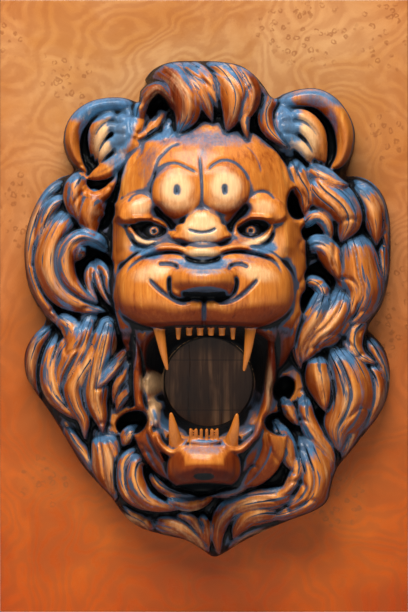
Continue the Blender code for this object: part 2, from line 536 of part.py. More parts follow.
def tooth_rows():
    """Every tooth as (path, radius at its root, radius at its tip)."""
    rows = list(UPPER_FANGS + LOWER_FANGS)
    for k in range(UPPER_INCISORS):
        across = UPPER_FIRST + k * UPPER_PITCH
        outer = k in (0, UPPER_INCISORS - 1)
        tip = 339 if outer else 335
        rows.append(([(across, 312, 96), (across, 324, 100), (across, tip, 101)], 3.6, 1.8 if outer else 3.0))
    for k in range(LOWER_INCISORS):
        across = LOWER_FIRST + k * LOWER_PITCH
        rows.append(([(across, 443, 92), (across, 434, 98), (across, 426.5, 102)], 2.3, 1.9))
    return rows


def to_world(across, down, rise):
    """A place in the layout as metres in the object's frame."""
    return (
        (across - PANEL_WIDE / 2) / 1000,
        -(PANEL_THICK + rise) / 1000,
        (PANEL_HIGH / 2 - down) / 1000,
    )


def add_tooth(bm, path, root, tip, sides=12, rings=14):
    """A tapering, closed tooth along a path."""
    crest = spline(path, rings)
    loops = []
    for k, place in enumerate(crest):
        t = k / (rings - 1)
        ahead = crest[min(k + 1, rings - 1)] - crest[max(k - 1, 0)]
        ahead /= np.linalg.norm(ahead)
        one = np.cross(ahead, (0.0, 0.0, 1.0))
        one /= np.linalg.norm(one)
        two = np.cross(one, ahead)
        radius = tip + (root - tip) * (1 - t) ** TOOTH_TAPER
        loop = []
        for j in range(sides):
            angle = 2 * math.pi * j / sides
            spot = place + radius * (math.cos(angle) * one + math.sin(angle) * two)
            loop.append(bm.verts.new(to_world(*spot)))
        loops.append(loop)
    for first, second in zip(loops[:-1], loops[1:]):
        for j in range(sides):
            bm.faces.new((first[j], first[(j + 1) % sides], second[(j + 1) % sides], second[j]))
    bm.faces.new(loops[0])
    bm.faces.new(loops[-1])


def add_relief(bm, carving):
    """The carved surface as a closed block on a plate below the panel's face."""
    rows, columns = carving.h.shape
    rise = np.maximum(carving.h, PLATE_TOP)
    grid = [[bm.verts.new(to_world(carving.x[i, j], carving.y[i, j], rise[i, j])) for j in range(columns)]
            for i in range(rows)]
    for i in range(rows - 1):
        for j in range(columns - 1):
            bm.faces.new((grid[i][j], grid[i][j + 1], grid[i + 1][j + 1], grid[i + 1][j]))
    edge = [(0, j) for j in range(columns)]
    edge += [(i, columns - 1) for i in range(1, rows)]
    edge += [(rows - 1, j) for j in range(columns - 2, -1, -1)]
    edge += [(i, 0) for i in range(rows - 2, 0, -1)]
    foot = [bm.verts.new(to_world(carving.x[i, j], carving.y[i, j], PLATE_FOOT)) for i, j in edge]
    count = len(edge)
    for k in range(count):
        i, j = edge[k]
        m, n = edge[(k + 1) % count]
        bm.faces.new((grid[i][j], foot[k], foot[(k + 1) % count], grid[m][n]))
    bm.faces.new(foot)


def new_object(name, bm):
    """An object made from a mesh under construction, with its faces pointing out."""
    bmesh.ops.recalc_face_normals(bm, faces=bm.faces)
    mesh = bpy.data.meshes.new(name)
    bm.to_mesh(mesh)
    bm.free()
    thing = bpy.data.objects.new(name, mesh)
    bpy.context.collection.objects.link(thing)
    return thing


def settle(thing):
    """Keeps the shape an object has with its modifiers as its own mesh."""
    graph = bpy.context.evaluated_depsgraph_get()
    mesh = bpy.data.meshes.new_from_object(thing.evaluated_get(graph))
    old = thing.data
    thing.modifiers.clear()
    thing.data = mesh
    bpy.data.meshes.remove(old)


def box(name, low, high):
    """A block between two corners, given as (across, down, rise)."""
    bm = bmesh.new()
    bmesh.ops.create_cube(bm, size=1.0)
    a = np.array(to_world(*low))
    b = np.array(to_world(*high))
    for v in bm.verts:
        v.co = (a + b) / 2 + np.array(v.co) * np.abs(b - a)
    return new_object(name, bm)


def disc(name, radius, low, high):
    """A round board about the throat, between two rises."""
    bm = bmesh.new()
    loops = []
    for rise in (low, high):
        loop = []
        for k in range(ROUND_SIDES):
            angle = 2 * math.pi * k / ROUND_SIDES
            across = THROAT_ACROSS + radius * math.cos(angle)
            down = THROAT_DOWN + radius * math.sin(angle)
            loop.append(bm.verts.new(to_world(across, down, rise)))
        loops.append(loop)
    for k in range(ROUND_SIDES):
        n = (k + 1) % ROUND_SIDES
        bm.faces.new((loops[0][k], loops[0][n], loops[1][n], loops[1][k]))
    bm.faces.new(loops[0])
    bm.faces.new(loops[1])
    return new_object(name, bm)


def boolean(thing, cutter, operation):
    """Cuts one object with another, and removes the cutter."""
    step = thing.modifiers.new(operation.lower(), "BOOLEAN")
    step.operation = operation
    step.object = cutter
    step.solver = "EXACT"
    settle(thing)
    bpy.data.objects.remove(cutter)


def material(name, colour, roughness, coat):
    """A lacquered wood of one colour."""
    mat = bpy.data.materials.new(name)
    mat.use_nodes = True
    shader = mat.node_tree.nodes["Principled BSDF"]
    shader.inputs["Base Color"].default_value = (*colour, 1.0)
    shader.inputs["Roughness"].default_value = roughness
    shader.inputs["Coat Weight"].default_value = coat
    return mat


def finish(thing, mat, smooth_angle):
    """Gives an object its material, and rounds its shading below an angle."""
    thing.data.materials.clear()
    thing.data.materials.append(mat)
    thing.data.shade_smooth()
    thing.data.set_sharp_from_angle(angle=math.radians(smooth_angle))


for old in list(bpy.data.objects):
    bpy.data.objects.remove(old)

# The lion's head: carved surface and teeth fused, thinned, then cut flat at the back
shape = bmesh.new()
add_relief(shape, carve_head(GRID_STEP))
for path, root, tip in tooth_rows():
    add_tooth(shape, path, root, tip)
head = new_object("lion_head", shape)
fuse = head.modifiers.new("fuse", "REMESH")
fuse.mode = "VOXEL"
fuse.voxel_size = VOXEL / 1000
settle(head)
thin = head.modifiers.new("thin", "DECIMATE")
thin.ratio = HEAD_TRIANGLES / sum(len(p.vertices) - 2 for p in head.data.polygons)
settle(head)
low = (-MARGIN, -MARGIN, GAP)
high = (PANEL_WIDE + MARGIN, PANEL_HIGH + MARGIN, FACE_DEPTH + MARGIN)
boolean(head, box("above the back", low, high), "INTERSECT")
boolean(head, disc("rebate", BOARD_RADIUS + GAP, -MARGIN, BOARD_THICK + 2 * GAP), "DIFFERENCE")

# The round board behind the mouth, let into the head's back
board = disc("mouth_board", BOARD_RADIUS, GAP, GAP + BOARD_THICK)

# The veneered panel
panel = box("burl_panel", (0, 0, -PANEL_THICK), (PANEL_WIDE, PANEL_HIGH, 0))
ease = panel.modifiers.new("eased edges", "BEVEL")
ease.width = PANEL_EDGE / 1000
ease.segments = 2
settle(panel)

finish(head, material("carved_wood", (0.50, 0.19, 0.06), 0.32, 0.6), 50)
finish(board, material("dark_wood", (0.07, 0.035, 0.02), 0.25, 0.6), 30)
finish(panel, material("burl_veneer", (0.58, 0.27, 0.09), 0.25, 0.8), 30)
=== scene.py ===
# %% [markdown]
# # Wooden lion relief
# A roaring lion's head, carved in one piece of wood, stained blue-black in its hollows, rubbed back on its
# high places and lacquered. It sits on a panel of burl veneer, and a dark round board closes its throat.
#
# The solids come from the imported model, which fixes every size and place. This script carves the head again
# much more finely in the same frame, and gives each of the three pieces its finish. Some colours in these
# finishes are painted light: painted shade, painted highlights and a painted sky sheen on the head, painted
# light and shade on the panel, and a painted shadow on the board.

# %% Load the solids
import bmesh
import bpy
import math
import numpy as np
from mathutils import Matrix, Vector


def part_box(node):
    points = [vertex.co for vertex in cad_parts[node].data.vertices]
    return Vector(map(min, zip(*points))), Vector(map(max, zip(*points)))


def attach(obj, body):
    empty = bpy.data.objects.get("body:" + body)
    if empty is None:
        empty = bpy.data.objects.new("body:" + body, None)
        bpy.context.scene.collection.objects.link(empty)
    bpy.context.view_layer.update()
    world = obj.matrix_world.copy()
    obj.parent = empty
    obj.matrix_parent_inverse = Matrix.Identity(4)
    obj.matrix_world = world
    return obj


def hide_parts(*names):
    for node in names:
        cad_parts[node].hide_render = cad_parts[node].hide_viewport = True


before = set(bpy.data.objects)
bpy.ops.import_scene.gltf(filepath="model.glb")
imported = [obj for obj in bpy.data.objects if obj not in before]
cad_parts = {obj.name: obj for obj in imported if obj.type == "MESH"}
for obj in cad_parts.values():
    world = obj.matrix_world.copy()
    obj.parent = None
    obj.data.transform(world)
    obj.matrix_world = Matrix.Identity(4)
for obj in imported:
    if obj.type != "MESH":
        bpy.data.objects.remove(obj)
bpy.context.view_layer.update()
panel_low, panel_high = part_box("burl_panel")
head_low, head_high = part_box("lion_head")
board_low, board_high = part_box("mouth_board")

# %% [markdown]
# A relief is easiest to lay out as its carver would: on the flat panel, in millimetres. Each place has a
# distance across from the panel's left edge, a distance down from its top edge, and a rise above its face.
# One function turns such a place into metres in the frame, so nothing is fitted by eye afterwards.

# %% Sizes and the layout's own frame
PANEL_WIDE = (panel_high[0] - panel_low[0]) * 1000
PANEL_HIGH = (panel_high[2] - panel_low[2]) * 1000
PANEL_FACE = panel_low[1]
THROAT_ACROSS = (board_low[0] + board_high[0]) / 2 * 1000 + PANEL_WIDE / 2
THROAT_DOWN = PANEL_HIGH / 2 - (board_low[2] + board_high[2]) / 2 * 1000
NOSE_RISE = (PANEL_FACE - head_low[1]) * 1000
BACK_RISE = (PANEL_FACE - head_high[1]) * 1000


def to_world(across, down, rise):
    """Places in the layout as metres in the frame."""
    return np.stack([(across - PANEL_WIDE / 2) / 1000,
                     PANEL_FACE - rise / 1000,
                     (PANEL_HIGH / 2 - down) / 1000], axis=-1)


print("panel", round(PANEL_WIDE), "by", round(PANEL_HIGH), "mm, nose stands", round(NOSE_RISE), "mm proud")

# %% [markdown]
# Seen from the front, a relief has one height of wood over each place on its panel. So it can be carved as a
# grid of heights: a shape is added by taking the higher of two heights, and cut by taking the lower. It could
# be sculpted by hand as well, but a grid can be changed one measure at a time. Besides the height, the grid
# remembers which lock of hair lies on top, because the stain will follow it.

# %% The height grid
# The height below the panel's face where nothing is carved yet, in millimetres
FAR = -30.0

# The part of the panel that the height grid covers: across from and to, down from and to
GRID_ACROSS = (14.0, 400.0)
GRID_DOWN = (52.0, 568.0)


class Carving:
    """The rise of the wood over a grid of places, and the hair that lies on it."""

    def __init__(self, step):
        self.step = step
        across = np.arange(*GRID_ACROSS, step)
        down = np.arange(*GRID_DOWN, step)
        self.x, self.y = np.meshgrid(across, down)
        self.h = np.full(self.x.shape, FAR)
        # for a lock of hair: the place across it and along it, and how many strands it has
        self.lane = np.zeros(self.x.shape)
        self.run = np.full(self.x.shape, 0.5)
        self.strands = np.zeros(self.x.shape)
        # engraved lines that hold stain
        self.ink = np.zeros(self.x.shape)


print("the grid is", round(GRID_ACROSS[1] - GRID_ACROSS[0]), "by", round(GRID_DOWN[1] - GRID_DOWN[0]), "mm")

# %% [markdown]
# Everything in this carving follows a curve. A smooth spline passes through the points that are given,
# so a path can be read off the object point by point. Two more helpers ease one value into another.

# %% Curves and easing
# Points worked out on a curve: between two drawn points, and along the whole of a lock
FINE_POINTS = 24
CURVE_POINTS = 56


def spline(path, count=CURVE_POINTS):
    """A smooth curve through the path's points, as evenly spaced places."""
    p = np.array(path, float)
    p = np.vstack([2 * p[0] - p[1], p, 2 * p[-1] - p[-2]])
    pieces = []
    for a, b, c, d in zip(p[:-3], p[1:-2], p[2:-1], p[3:]):
        t = np.linspace(0, 1, FINE_POINTS, endpoint=False)[:, None]
        pieces.append(b + 0.5 * ((c - a) * t + (2 * a - 5 * b + 4 * c - d) * t**2
                                 + (3 * b - a - 3 * c + d) * t**3))
    fine = np.vstack(pieces + [p[-2][None]])
    run = np.concatenate([[0], np.cumsum(np.linalg.norm(np.diff(fine, axis=0), axis=1))])
    at = np.linspace(0, run[-1], count)
    return np.column_stack([np.interp(at, run, fine[:, k]) for k in range(fine.shape[1])])


def smooth_max(a, b, k):
    """The larger of two heights, rounded over a height k where they cross."""
    share = np.clip(0.5 + 0.5 * (a - b) / k, 0, 1)
    return b + (a - b) * share + k * share * (1 - share)


def smooth_step(a, b, x):
    """Zero at a, one at b, eased between."""
    t = np.clip((x - a) / (b - a), 0, 1)
    return t * t * (3 - 2 * t)


print("a spline through 3 points is drawn with", len(spline([(0, 0), (1, 1), (2, 0)])), "places")

# %% [markdown]
# A lock, a groove and a welt all ask the same three things of each place on the grid: how far along the path
# it lies, how far off it, and on which side. Only the part of the grid near the path is worked on.

# %% Places near a path
# How far beyond its edge a lock still changes the ground, in millimetres
LOCK_REACH = 8.0


def window(c, curve, reach):
    """The part of the grid within reach of a curve."""
    low = curve.min(0) - reach
    high = curve.max(0) + reach
    first = (low - (c.x[0, 0], c.y[0, 0])) / c.step
    last = (high - (c.x[0, 0], c.y[0, 0])) / c.step
    rows = slice(max(0, int(first[1])), min(c.x.shape[0], int(last[1]) + 2))
    columns = slice(max(0, int(first[0])), min(c.x.shape[1], int(last[0]) + 2))
    return rows, columns


def along(c, path, reach):
    """For places near a path: how far along it they are (0 to 1), their distance and their side."""
    curve = spline(path)
    win = window(c, curve, reach)
    px = c.x[win].ravel()[:, None]
    py = c.y[win].ravel()[:, None]
    a = curve[:-1]
    d = curve[1:] - a
    s = ((px - a[:, 0]) * d[:, 0] + (py - a[:, 1]) * d[:, 1]) / (d**2).sum(1)
    s = np.clip(s, 0, 1)
    gx = px - (a[:, 0] + s * d[:, 0])
    gy = py - (a[:, 1] + s * d[:, 1])
    dist = np.hypot(gx, gy)
    k = dist.argmin(1)
    r = np.arange(len(k))
    t = (k + s[r, k]) / len(d)
    side = np.sign(d[k, 0] * gy[r, k] - d[k, 1] * gx[r, k])
    shape = c.x[win].shape
    return win, t.reshape(shape), dist[r, k].reshape(shape), side.reshape(shape)


some_window = along(Carving(1.0), [(100, 100), (150, 120)], LOCK_REACH)[1]
print("a path of 54 mm touches a window of", some_window.shape, "grid places")

# %% [markdown]
# A lock of hair in a carving is not a thread but a bold, rounded ridge that swells, curls and ends in a
# point. Each is drawn as the path of its crest, with its width, its rise at root, middle and tip, and how
# many gouged grooves run along it. Its cross-section, its taper, the way its root dips under its neighbours
# and the crease round it are worked out from those, which keeps the whole mane in one hand.

# %% Carve a lock of hair
# How steeply the sides of a lock fall, in millimetres of rise to the millimetre
WALL = 14.0

# A lock's cross-section and taper: how square its shoulders are and how blunt its point is
SHOULDER = 1.8
TAPER = 0.78
THINNEST = 0.6

# How deep a lock's root is sunk under its neighbours, and over what share of its length
ROOT_SUNK = 10.0
ROOT_SHARE = 0.14

# The crease around a lock, and the grooves along it as shares of its width
CREASE_OFF = 1.0
CREASE_WIDE = 1.8
GROOVE_WIDE = 0.020
GROOVE_LEAST = 0.75
GROOVE_DEEP = 0.075

# How wide a strand of hair is drawn
STRAND_WIDE = 9.0


def lock(c, path, wide, rise, grooves=0, root=0.62, belly=0.42, crown=0.85, moat=2.5,
         blend=0.0, hair=0):
    """A lock of hair: it swells from its root to its belly and tapers to a point."""
    win, t, dist, side = along(c, path, wide / 2 + LOCK_REACH)
    growing = root + (1 - root) * np.sin(np.pi / 2 * t / belly)
    tapering = np.cos(np.pi / 2 * np.clip((t - belly) / (1 - belly), 0, 1)) ** TAPER
    half = np.maximum(wide / 2 * np.where(t < belly, growing, tapering), THINNEST)
    u = dist / half
    at_root, at_middle, at_tip = rise
    top = at_root * (1 - t) * (1 - 2 * t) + 4 * at_middle * t * (1 - t) + at_tip * t * (2 * t - 1)
    top -= ROOT_SUNK * np.clip(1 - t / ROOT_SHARE, 0, 1) ** 2
    drop = crown * half
    inside = top - drop * u**SHOULDER
    outside = top - drop - WALL * (dist - half)
    z = np.where(u < 1, inside, outside)
    fade = smooth_step(0.02, 0.15, t) * smooth_step(1.0, 0.7, t)
    for k in range(grooves):
        place = (k + 1) / (grooves + 1) * 2 - 1
        past = (side * u - place) * half / (GROOVE_WIDE * wide + GROOVE_LEAST)
        z -= (GROOVE_DEEP * wide + GROOVE_LEAST) * np.exp(-past**2) * fade
    ground = c.h[win]
    past = (dist - half - CREASE_OFF) / CREASE_WIDE
    ground = ground - moat * np.exp(-past**2) * (z < ground)
    c.h[win] = smooth_max(ground, z, blend) if blend else np.maximum(ground, z)
    wins = z > ground
    c.lane[win] = np.where(wins, side * u, c.lane[win])
    c.run[win] = np.where(wins, t, c.run[win])
    c.ink[win] = np.where(wins, 0, c.ink[win])
    c.strands[win] = np.where(wins, hair * max(1.0, round(wide / STRAND_WIDE)), c.strands[win])


print("a lock's wall falls", WALL, "mm to the millimetre, and its root is sunk by", ROOT_SUNK, "mm")

# %% [markdown]
# Wrinkles, nostrils and the lines round the muzzle are cut with a narrow gouge, and a welt is the same line
# raised instead of cut. Stain stays in a cut that is narrow, so the grid remembers those as ink.

# %% Cut a groove, raise a welt
# Stain in cut lines: the depth that fills one, its spread beyond the line, and the widest line that holds it
INK_DEPTH = 2.0
INK_SPREAD = 1.3
INK_WIDEST = 3.0


def groove(c, path, wide, depth, ends=0.15):
    """A line cut along a path, fading at its ends."""
    win, t, dist, _ = along(c, path, 4 * wide)
    fade = smooth_step(0, ends, t) * smooth_step(1, 1 - ends, t) if ends else 1.0
    past = np.exp(-(dist / wide) ** 2) * fade
    c.h[win] -= depth * past
    if 0 < wide < INK_WIDEST and depth > 0:
        inked = min(depth / INK_DEPTH, 1) * fade * np.exp(-(dist / (INK_SPREAD * wide)) ** 2)
        c.ink[win] = np.maximum(c.ink[win], inked)


def welt(c, path, wide, height, ends=0.15):
    """A soft ridge raised along a path."""
    groove(c, path, wide, -height, ends)


print("grooves up to", INK_WIDEST, "mm wide are filled with stain")

# %% [markdown]
# The face is built from bosses: the skull, the muzzle, the nose and the two knobs over the brows are rounded
# domes on an ellipse, blended where they meet. The eye sockets and the holes in the curls are the opposite,
# bowls with steep walls. A power above two makes an ellipse squarer, as the lion's muzzle is.

# %% Raise a dome, sink a pit
# How steeply the sides of a boss and a pit fall, in millimetres of rise to the millimetre
DOME_WALL = 9.0
PIT_WALL = 11.0

# A pit's floor: how far its bowl rises to its rim, and the share of its radius where its wall begins
PIT_BOWL = 10.0
PIT_SHARE = 0.8


def ellipse(c, across, down, rx, ry, turn, power):
    """The distance from an ellipse's centre, one on its rim."""
    cosine = math.cos(math.radians(turn))
    sine = math.sin(math.radians(turn))
    dx = c.x - across
    dy = c.y - down
    a = np.abs(cosine * dx + sine * dy) / rx
    b = np.abs(-sine * dx + cosine * dy) / ry
    return (a**power + b**power) ** (1 / power)


def dome(c, across, down, rx, ry, top, foot, blend=4.0, turn=0.0, power=2.0, full=0.5):
    """A rounded boss on an ellipse."""
    rr = ellipse(c, across, down, rx, ry, turn, power)
    within = foot + (top - foot) * np.clip(1 - rr**2, 0, 1) ** full
    z = np.where(rr < 1, within, foot - DOME_WALL * (rr - 1) * min(rx, ry))
    c.h = smooth_max(c.h, z, blend) if blend else np.maximum(c.h, z)


def pit(c, across, down, rx, ry, floor, blend=2.0, turn=0.0, steep=PIT_WALL):
    """A hollow cut down to a bowl-shaped floor inside an ellipse."""
    rr = ellipse(c, across, down, rx, ry, turn, 2.0)
    z = floor + PIT_BOWL * np.minimum(rr, 1) ** 2
    z += steep * np.maximum(rr - PIT_SHARE, 0) * min(rx, ry)
    c.h = -smooth_max(-c.h, -z, blend)


print("a boss falls", DOME_WALL, "and a pit", PIT_WALL, "mm to the millimetre")

# %% [markdown]
# The head ends in one clear outline, which the mane's tips and the ears make together. Everything is cut back
# to it, and the last few millimetres round off towards the panel, as a carver undercuts an edge.

# %% The head's outline
# Its rise, its steepness, and the width and depth over which it rounds off
EDGE_RISE = 3.0
EDGE_WALL = 26.0
EDGE_WIDE = 9.0
EDGE_DEEP = 15.0

# How far in from the outline the head's own side reaches: none of it, and all of it
RIM = (3.2, 0.8)
OUTLINE_POINTS = 280

# Clockwise from the notch beside the left ear
OUTLINE = (
    (139, 103), (141, 89), (149, 74), (160, 66), (175, 62), (192, 61.5), (208, 61.5), (225, 63), (241, 66.5),
    (255, 76), (265, 88), (273, 99), (284, 94), (299, 89.5), (317, 89), (334, 97), (347, 112), (354.5, 130),
    (354, 149), (349, 165), (345, 176), (357, 176.5), (371, 182), (383, 196), (389, 216), (390.5, 240),
    (390, 264), (387, 287), (380, 308), (369, 326), (379, 339), (387, 356), (390, 376), (387, 397),
    (378, 416), (364, 434), (349, 453), (337, 468), (331, 485), (327, 501), (313, 511), (292, 519),
    (268, 529), (244, 540.5), (226, 551.5), (215, 557.5), (203, 550), (186, 540), (163, 534.5), (142, 528),
    (125, 516), (112, 498), (96, 481), (81, 463), (66, 438), (50, 412), (35, 391), (26, 374), (25, 354),
    (32, 338), (46, 321), (36, 303), (28, 284), (24.5, 258), (26, 234), (33, 211), (45, 190), (60, 178),
    (74, 172), (67, 157), (63.5, 143), (66, 126), (75, 112), (90, 102), (107, 98), (124, 98), (139, 103),
)


def trim(c, outline):
    """Cuts everything back to the head's outline."""
    curve = spline(outline, OUTLINE_POINTS)
    near = np.full(c.x.shape, np.inf)
    inside = np.zeros(c.x.shape, bool)
    for (ax, ay), (bx, by) in zip(curve[:-1], curve[1:]):
        dx = bx - ax
        dy = by - ay
        s = np.clip(((c.x - ax) * dx + (c.y - ay) * dy) / (dx * dx + dy * dy), 0, 1)
        near = np.minimum(near, np.hypot(c.x - ax - s * dx, c.y - ay - s * dy))
        crosses = (ay > c.y) != (by > c.y)
        if dy:
            inside ^= crosses & (c.x < ax + (c.y - ay) / dy * dx)
    within = np.where(inside, near, -near)
    past = 1 - np.clip(within / EDGE_WIDE, 0, 1)
    c.h -= EDGE_DEEP * past**2
    c.h = np.minimum(c.h, EDGE_RISE + EDGE_WALL * within)
    c.rim = smooth_step(*RIM, within)


print("the outline is drawn with", len(OUTLINE), "points")

# %% [markdown]
# Now the hair itself, lock by lock. The ears are made of the same ridges: their lobes are short locks that
# fan out from the root, and a long one bends round as the rim. Over the brow stands a tuft, swept to the
# right and curled at the left.

# %% The ears and the tuft
# Each lock: its name, the path of its crest, its width, its rise at root, middle and tip, its grooves
EARS = (
    ("left ear inner lobe", [(121, 119), (108, 120), (96, 132), (92, 158)], 8, (62, 62, 40), 0),
    ("left ear second lobe", [(122, 131), (110, 130), (101, 142), (96, 163)], 7, (66, 64, 42), 0),
    ("left ear third lobe", [(124, 142), (115, 143), (107, 152), (99, 168)], 7, (67, 63, 44), 0),
    ("left ear lower lobe", [(134, 150), (124, 160), (109, 171), (88, 180)], 13, (68, 64, 50), 1),
    ("left ear bowl", [(84, 172), (82, 186), (91, 197), (104, 196), (115, 184), (119, 174)],
     8, (50, 56, 60), 0),
    ("left ear rim", [(138, 106), (112, 103), (91, 109), (76, 125), (72, 143), (77, 160), (87, 173)],
     16, (62, 64, 44), 0),
    ("right ear inner lobe", [(286, 118), (303, 119), (316, 132), (321, 152), (323, 172)],
     9, (68, 66, 44), 0),
    ("right ear second lobe", [(286, 129), (300, 130), (310, 140), (315, 156), (319, 172)],
     8, (69, 66, 46), 0),
    ("right ear lower lobe", [(284, 142), (296, 145), (306, 156), (315, 173)], 8, (69, 64, 48), 0),
    ("right ear rim", [(272, 108), (298, 99), (318, 99), (334, 111), (343, 128), (344, 148), (338, 163),
                       (325, 174)], 16, (62, 64, 44), 0),
)
TUFT = (
    ("curl tongue", [(166, 110), (161, 121), (151, 132), (138, 142)], 9, (60, 70, 66), 1),
    ("curl small tongue", [(174, 121), (168, 131), (165, 143)], 7, (66, 72, 68), 0),
    ("curl rim", [(139, 129), (141, 112), (147, 99), (158, 91), (168, 98), (173, 112)], 8, (62, 84, 82), 0),
    ("curl body", [(158, 68), (175, 82), (186, 100), (187, 118), (178, 138)], 23, (56, 96, 78), 0),
    ("second strand", [(170, 64), (190, 80), (203, 99), (213, 125)], 15, (50, 90, 74), 0),
    ("third strand", [(184, 63), (203, 78), (213, 94), (219, 116)], 9, (50, 88, 74), 0),
    ("far right strand", [(232, 65), (248, 74), (259, 86), (267, 101)], 12, (44, 70, 70), 0),
    ("middle lock", [(200, 62), (221, 76), (233, 96), (233, 114), (226, 135)], 23, (50, 96, 82), 0),
    ("right strands", [(218, 63), (240, 77), (250, 95), (249, 111), (240, 128)], 14, (48, 90, 80), 1),
    ("thin strand", [(253, 96), (248, 110), (244, 124), (247, 143)], 7, (72, 88, 84), 0),
    ("outer right curve", [(262, 84), (269, 100), (264, 115), (268, 133), (285, 149)], 11, (62, 80, 78), 0),
)
print(len(EARS), "ridges in the ears,", len(TUFT), "locks in the tuft")

# %% [markdown]
# The mane falls in two layers on each side. The outer crests frame the head, and the broad inner locks cross
# over them, with holes between the curls. Where two locks meet, the higher one shows.

# %% The mane on the left
MANE_LEFT = (
    ("outer crest", [(76, 180), (54, 189), (39, 211), (30, 240), (29, 268), (37, 292), (50, 311), (65, 329)],
     19, (34, 48, 40), 0),
    ("outer crest strand", [(72, 196), (54, 207), (45, 225), (39, 246), (33, 264)], 11, (44, 50, 40), 0),
    ("big crescent", [(73, 212), (62, 227), (54, 245), (51, 263), (55, 281), (67, 296), (86, 306),
                      (107, 312)], 22, (52, 58, 46), 0),
    ("inner crescent", [(106, 247), (96, 240), (82, 238), (70, 248), (66, 262), (70, 279), (82, 292),
                        (98, 303)], 13, (52, 60, 52), 0),
    ("crescent tongue", [(84, 246), (80, 252), (77, 262)], 9, (54, 52, 44), 0),
    ("curl strand one", [(96, 261), (90, 274), (92, 289), (99, 303)], 7, (40, 48, 48), 0),
    ("curl strand two", [(97, 262), (99, 278), (106, 294), (114, 309)], 7, (40, 50, 50), 0),
    ("curl strand three", [(98, 261), (107, 273), (112, 290), (120, 308)], 7, (42, 56, 60), 0),
    ("under ear left tip", [(83, 174), (76, 190), (76, 207), (81, 225)], 15, (50, 58, 44), 0),
    ("under ear right tip", [(104, 197), (94, 205), (90, 219), (96, 236)], 21, (56, 56, 46), 0),
    ("low outer lock", [(51, 326), (38, 340), (31, 358), (30, 377), (34, 395), (40, 414)],
     17, (36, 44, 34), 0),
    ("low second lock", [(60, 336), (53, 356), (51, 376), (56, 394), (68, 408), (82, 420)],
     14, (42, 52, 46), 0),
    ("broad lock", [(90, 322), (84, 342), (74, 361), (66, 379), (67, 403)], 29, (58, 58, 44), 1),
    ("outer end lock", [(58, 316), (71, 326), (74, 340), (68, 352)], 14, (44, 52, 48), 0),
    ("s lock", [(101, 332), (95, 352), (83, 370), (75, 387), (78, 404), (85, 419), (86, 437)],
     16, (60, 58, 46), 0),
    ("inner s lock", [(109, 326), (103, 352), (98, 375), (96, 398), (101, 416), (104, 431)],
     22, (68, 60, 46), 1),
    ("cross strand one", [(130, 349), (120, 361), (110, 373), (99, 387)], 10, (62, 62, 58), 1),
    ("cross strand two", [(132, 358), (127, 373), (119, 385), (114, 402)], 9, (60, 60, 50), 0),
    ("cross strand three", [(134, 373), (130, 388), (122, 399), (117, 411)], 9, (58, 56, 46), 1),
)
print(len(MANE_LEFT), "locks on the left")

# %% The mane on the right
MANE_RIGHT = (
    ("outer top crest", [(350, 178), (370, 188), (381, 206), (385, 227), (389, 258)], 16, (36, 44, 34), 0),
    ("outer low crest", [(381, 240), (382, 262), (381, 282), (376, 300), (364, 326)], 16, (36, 42, 34), 0),
    ("top inner lock", [(352, 186), (366, 202), (373, 222), (375, 247)], 18, (44, 52, 40), 0),
    ("narrow leaf", [(289, 162), (298, 180), (306, 196), (304, 218)], 17, (64, 66, 54), 1),
    ("ear knob", [(306, 167), (319, 177), (333, 184), (346, 186)], 14, (58, 66, 62), 0),
    ("double lock", [(309, 177), (322, 193), (338, 207), (346, 222), (339, 243)], 27, (62, 70, 52), 1),
    ("arch over first hole", [(303, 226), (314, 217), (325, 224), (331, 247)], 10, (56, 60, 46), 0),
    ("arch over second hole", [(306, 248), (317, 245), (328, 253), (339, 281)], 16, (56, 60, 50), 1),
    ("third curl", [(303, 286), (311, 282), (320, 289), (326, 310)], 10, (50, 56, 54), 0),
    ("big notched lock", [(349, 236), (354, 255), (357, 275), (361, 292), (354, 313), (342, 331)],
     33, (54, 60, 46), 1),
    ("strand to point", [(323, 292), (315, 314), (304, 332), (298, 348), (300, 368)], 17, (60, 66, 50), 0),
    ("lock to point", [(343, 292), (337, 310), (326, 325), (312, 338), (301, 362)], 27, (56, 64, 56), 1),
    ("crescent tip", [(364, 318), (353, 331), (351, 345), (358, 356), (374, 363)], 15, (44, 50, 42), 0),
    ("outermost lock", [(364, 336), (376, 354), (384, 374), (385, 392), (378, 411), (364, 430)],
     14, (32, 38, 28), 0),
    ("outer lock", [(363, 362), (374, 380), (375, 400), (368, 418), (354, 440)], 16, (40, 44, 34), 0),
    ("big lock", [(332, 350), (343, 371), (349, 392), (345, 411), (336, 430), (338, 450)],
     34, (56, 62, 44), 1),
    ("narrow lock", [(315, 356), (318, 376), (322, 394), (324, 410)], 19, (58, 60, 50), 1),
    ("low lock", [(361, 414), (352, 428), (347, 443), (341, 460)], 14, (40, 40, 28), 0),
    ("strand", [(303, 396), (306, 418), (315, 436), (327, 452), (334, 472)], 13, (50, 52, 36), 0),
    ("lobe lock", [(298, 434), (307, 456), (313, 480), (306, 498), (289, 509), (268, 515)],
     33, (50, 58, 38), 1),
    ("lip of the lobe lock", [(297, 452), (295, 472), (286, 488), (270, 496)], 9, (54, 56, 52), 0),
    ("curl by the jaw", [(274, 424), (280, 438), (287, 453), (293, 470)], 17, (58, 60, 50), 1),
    ("upper curl by the jaw", [(283, 400), (290, 412), (297, 424)], 9, (50, 54, 50), 0),
)
print(len(MANE_RIGHT), "locks on the right")

# %% [markdown]
# Below the jaw the locks sweep inwards and meet in one point, off the middle as on the real carving.

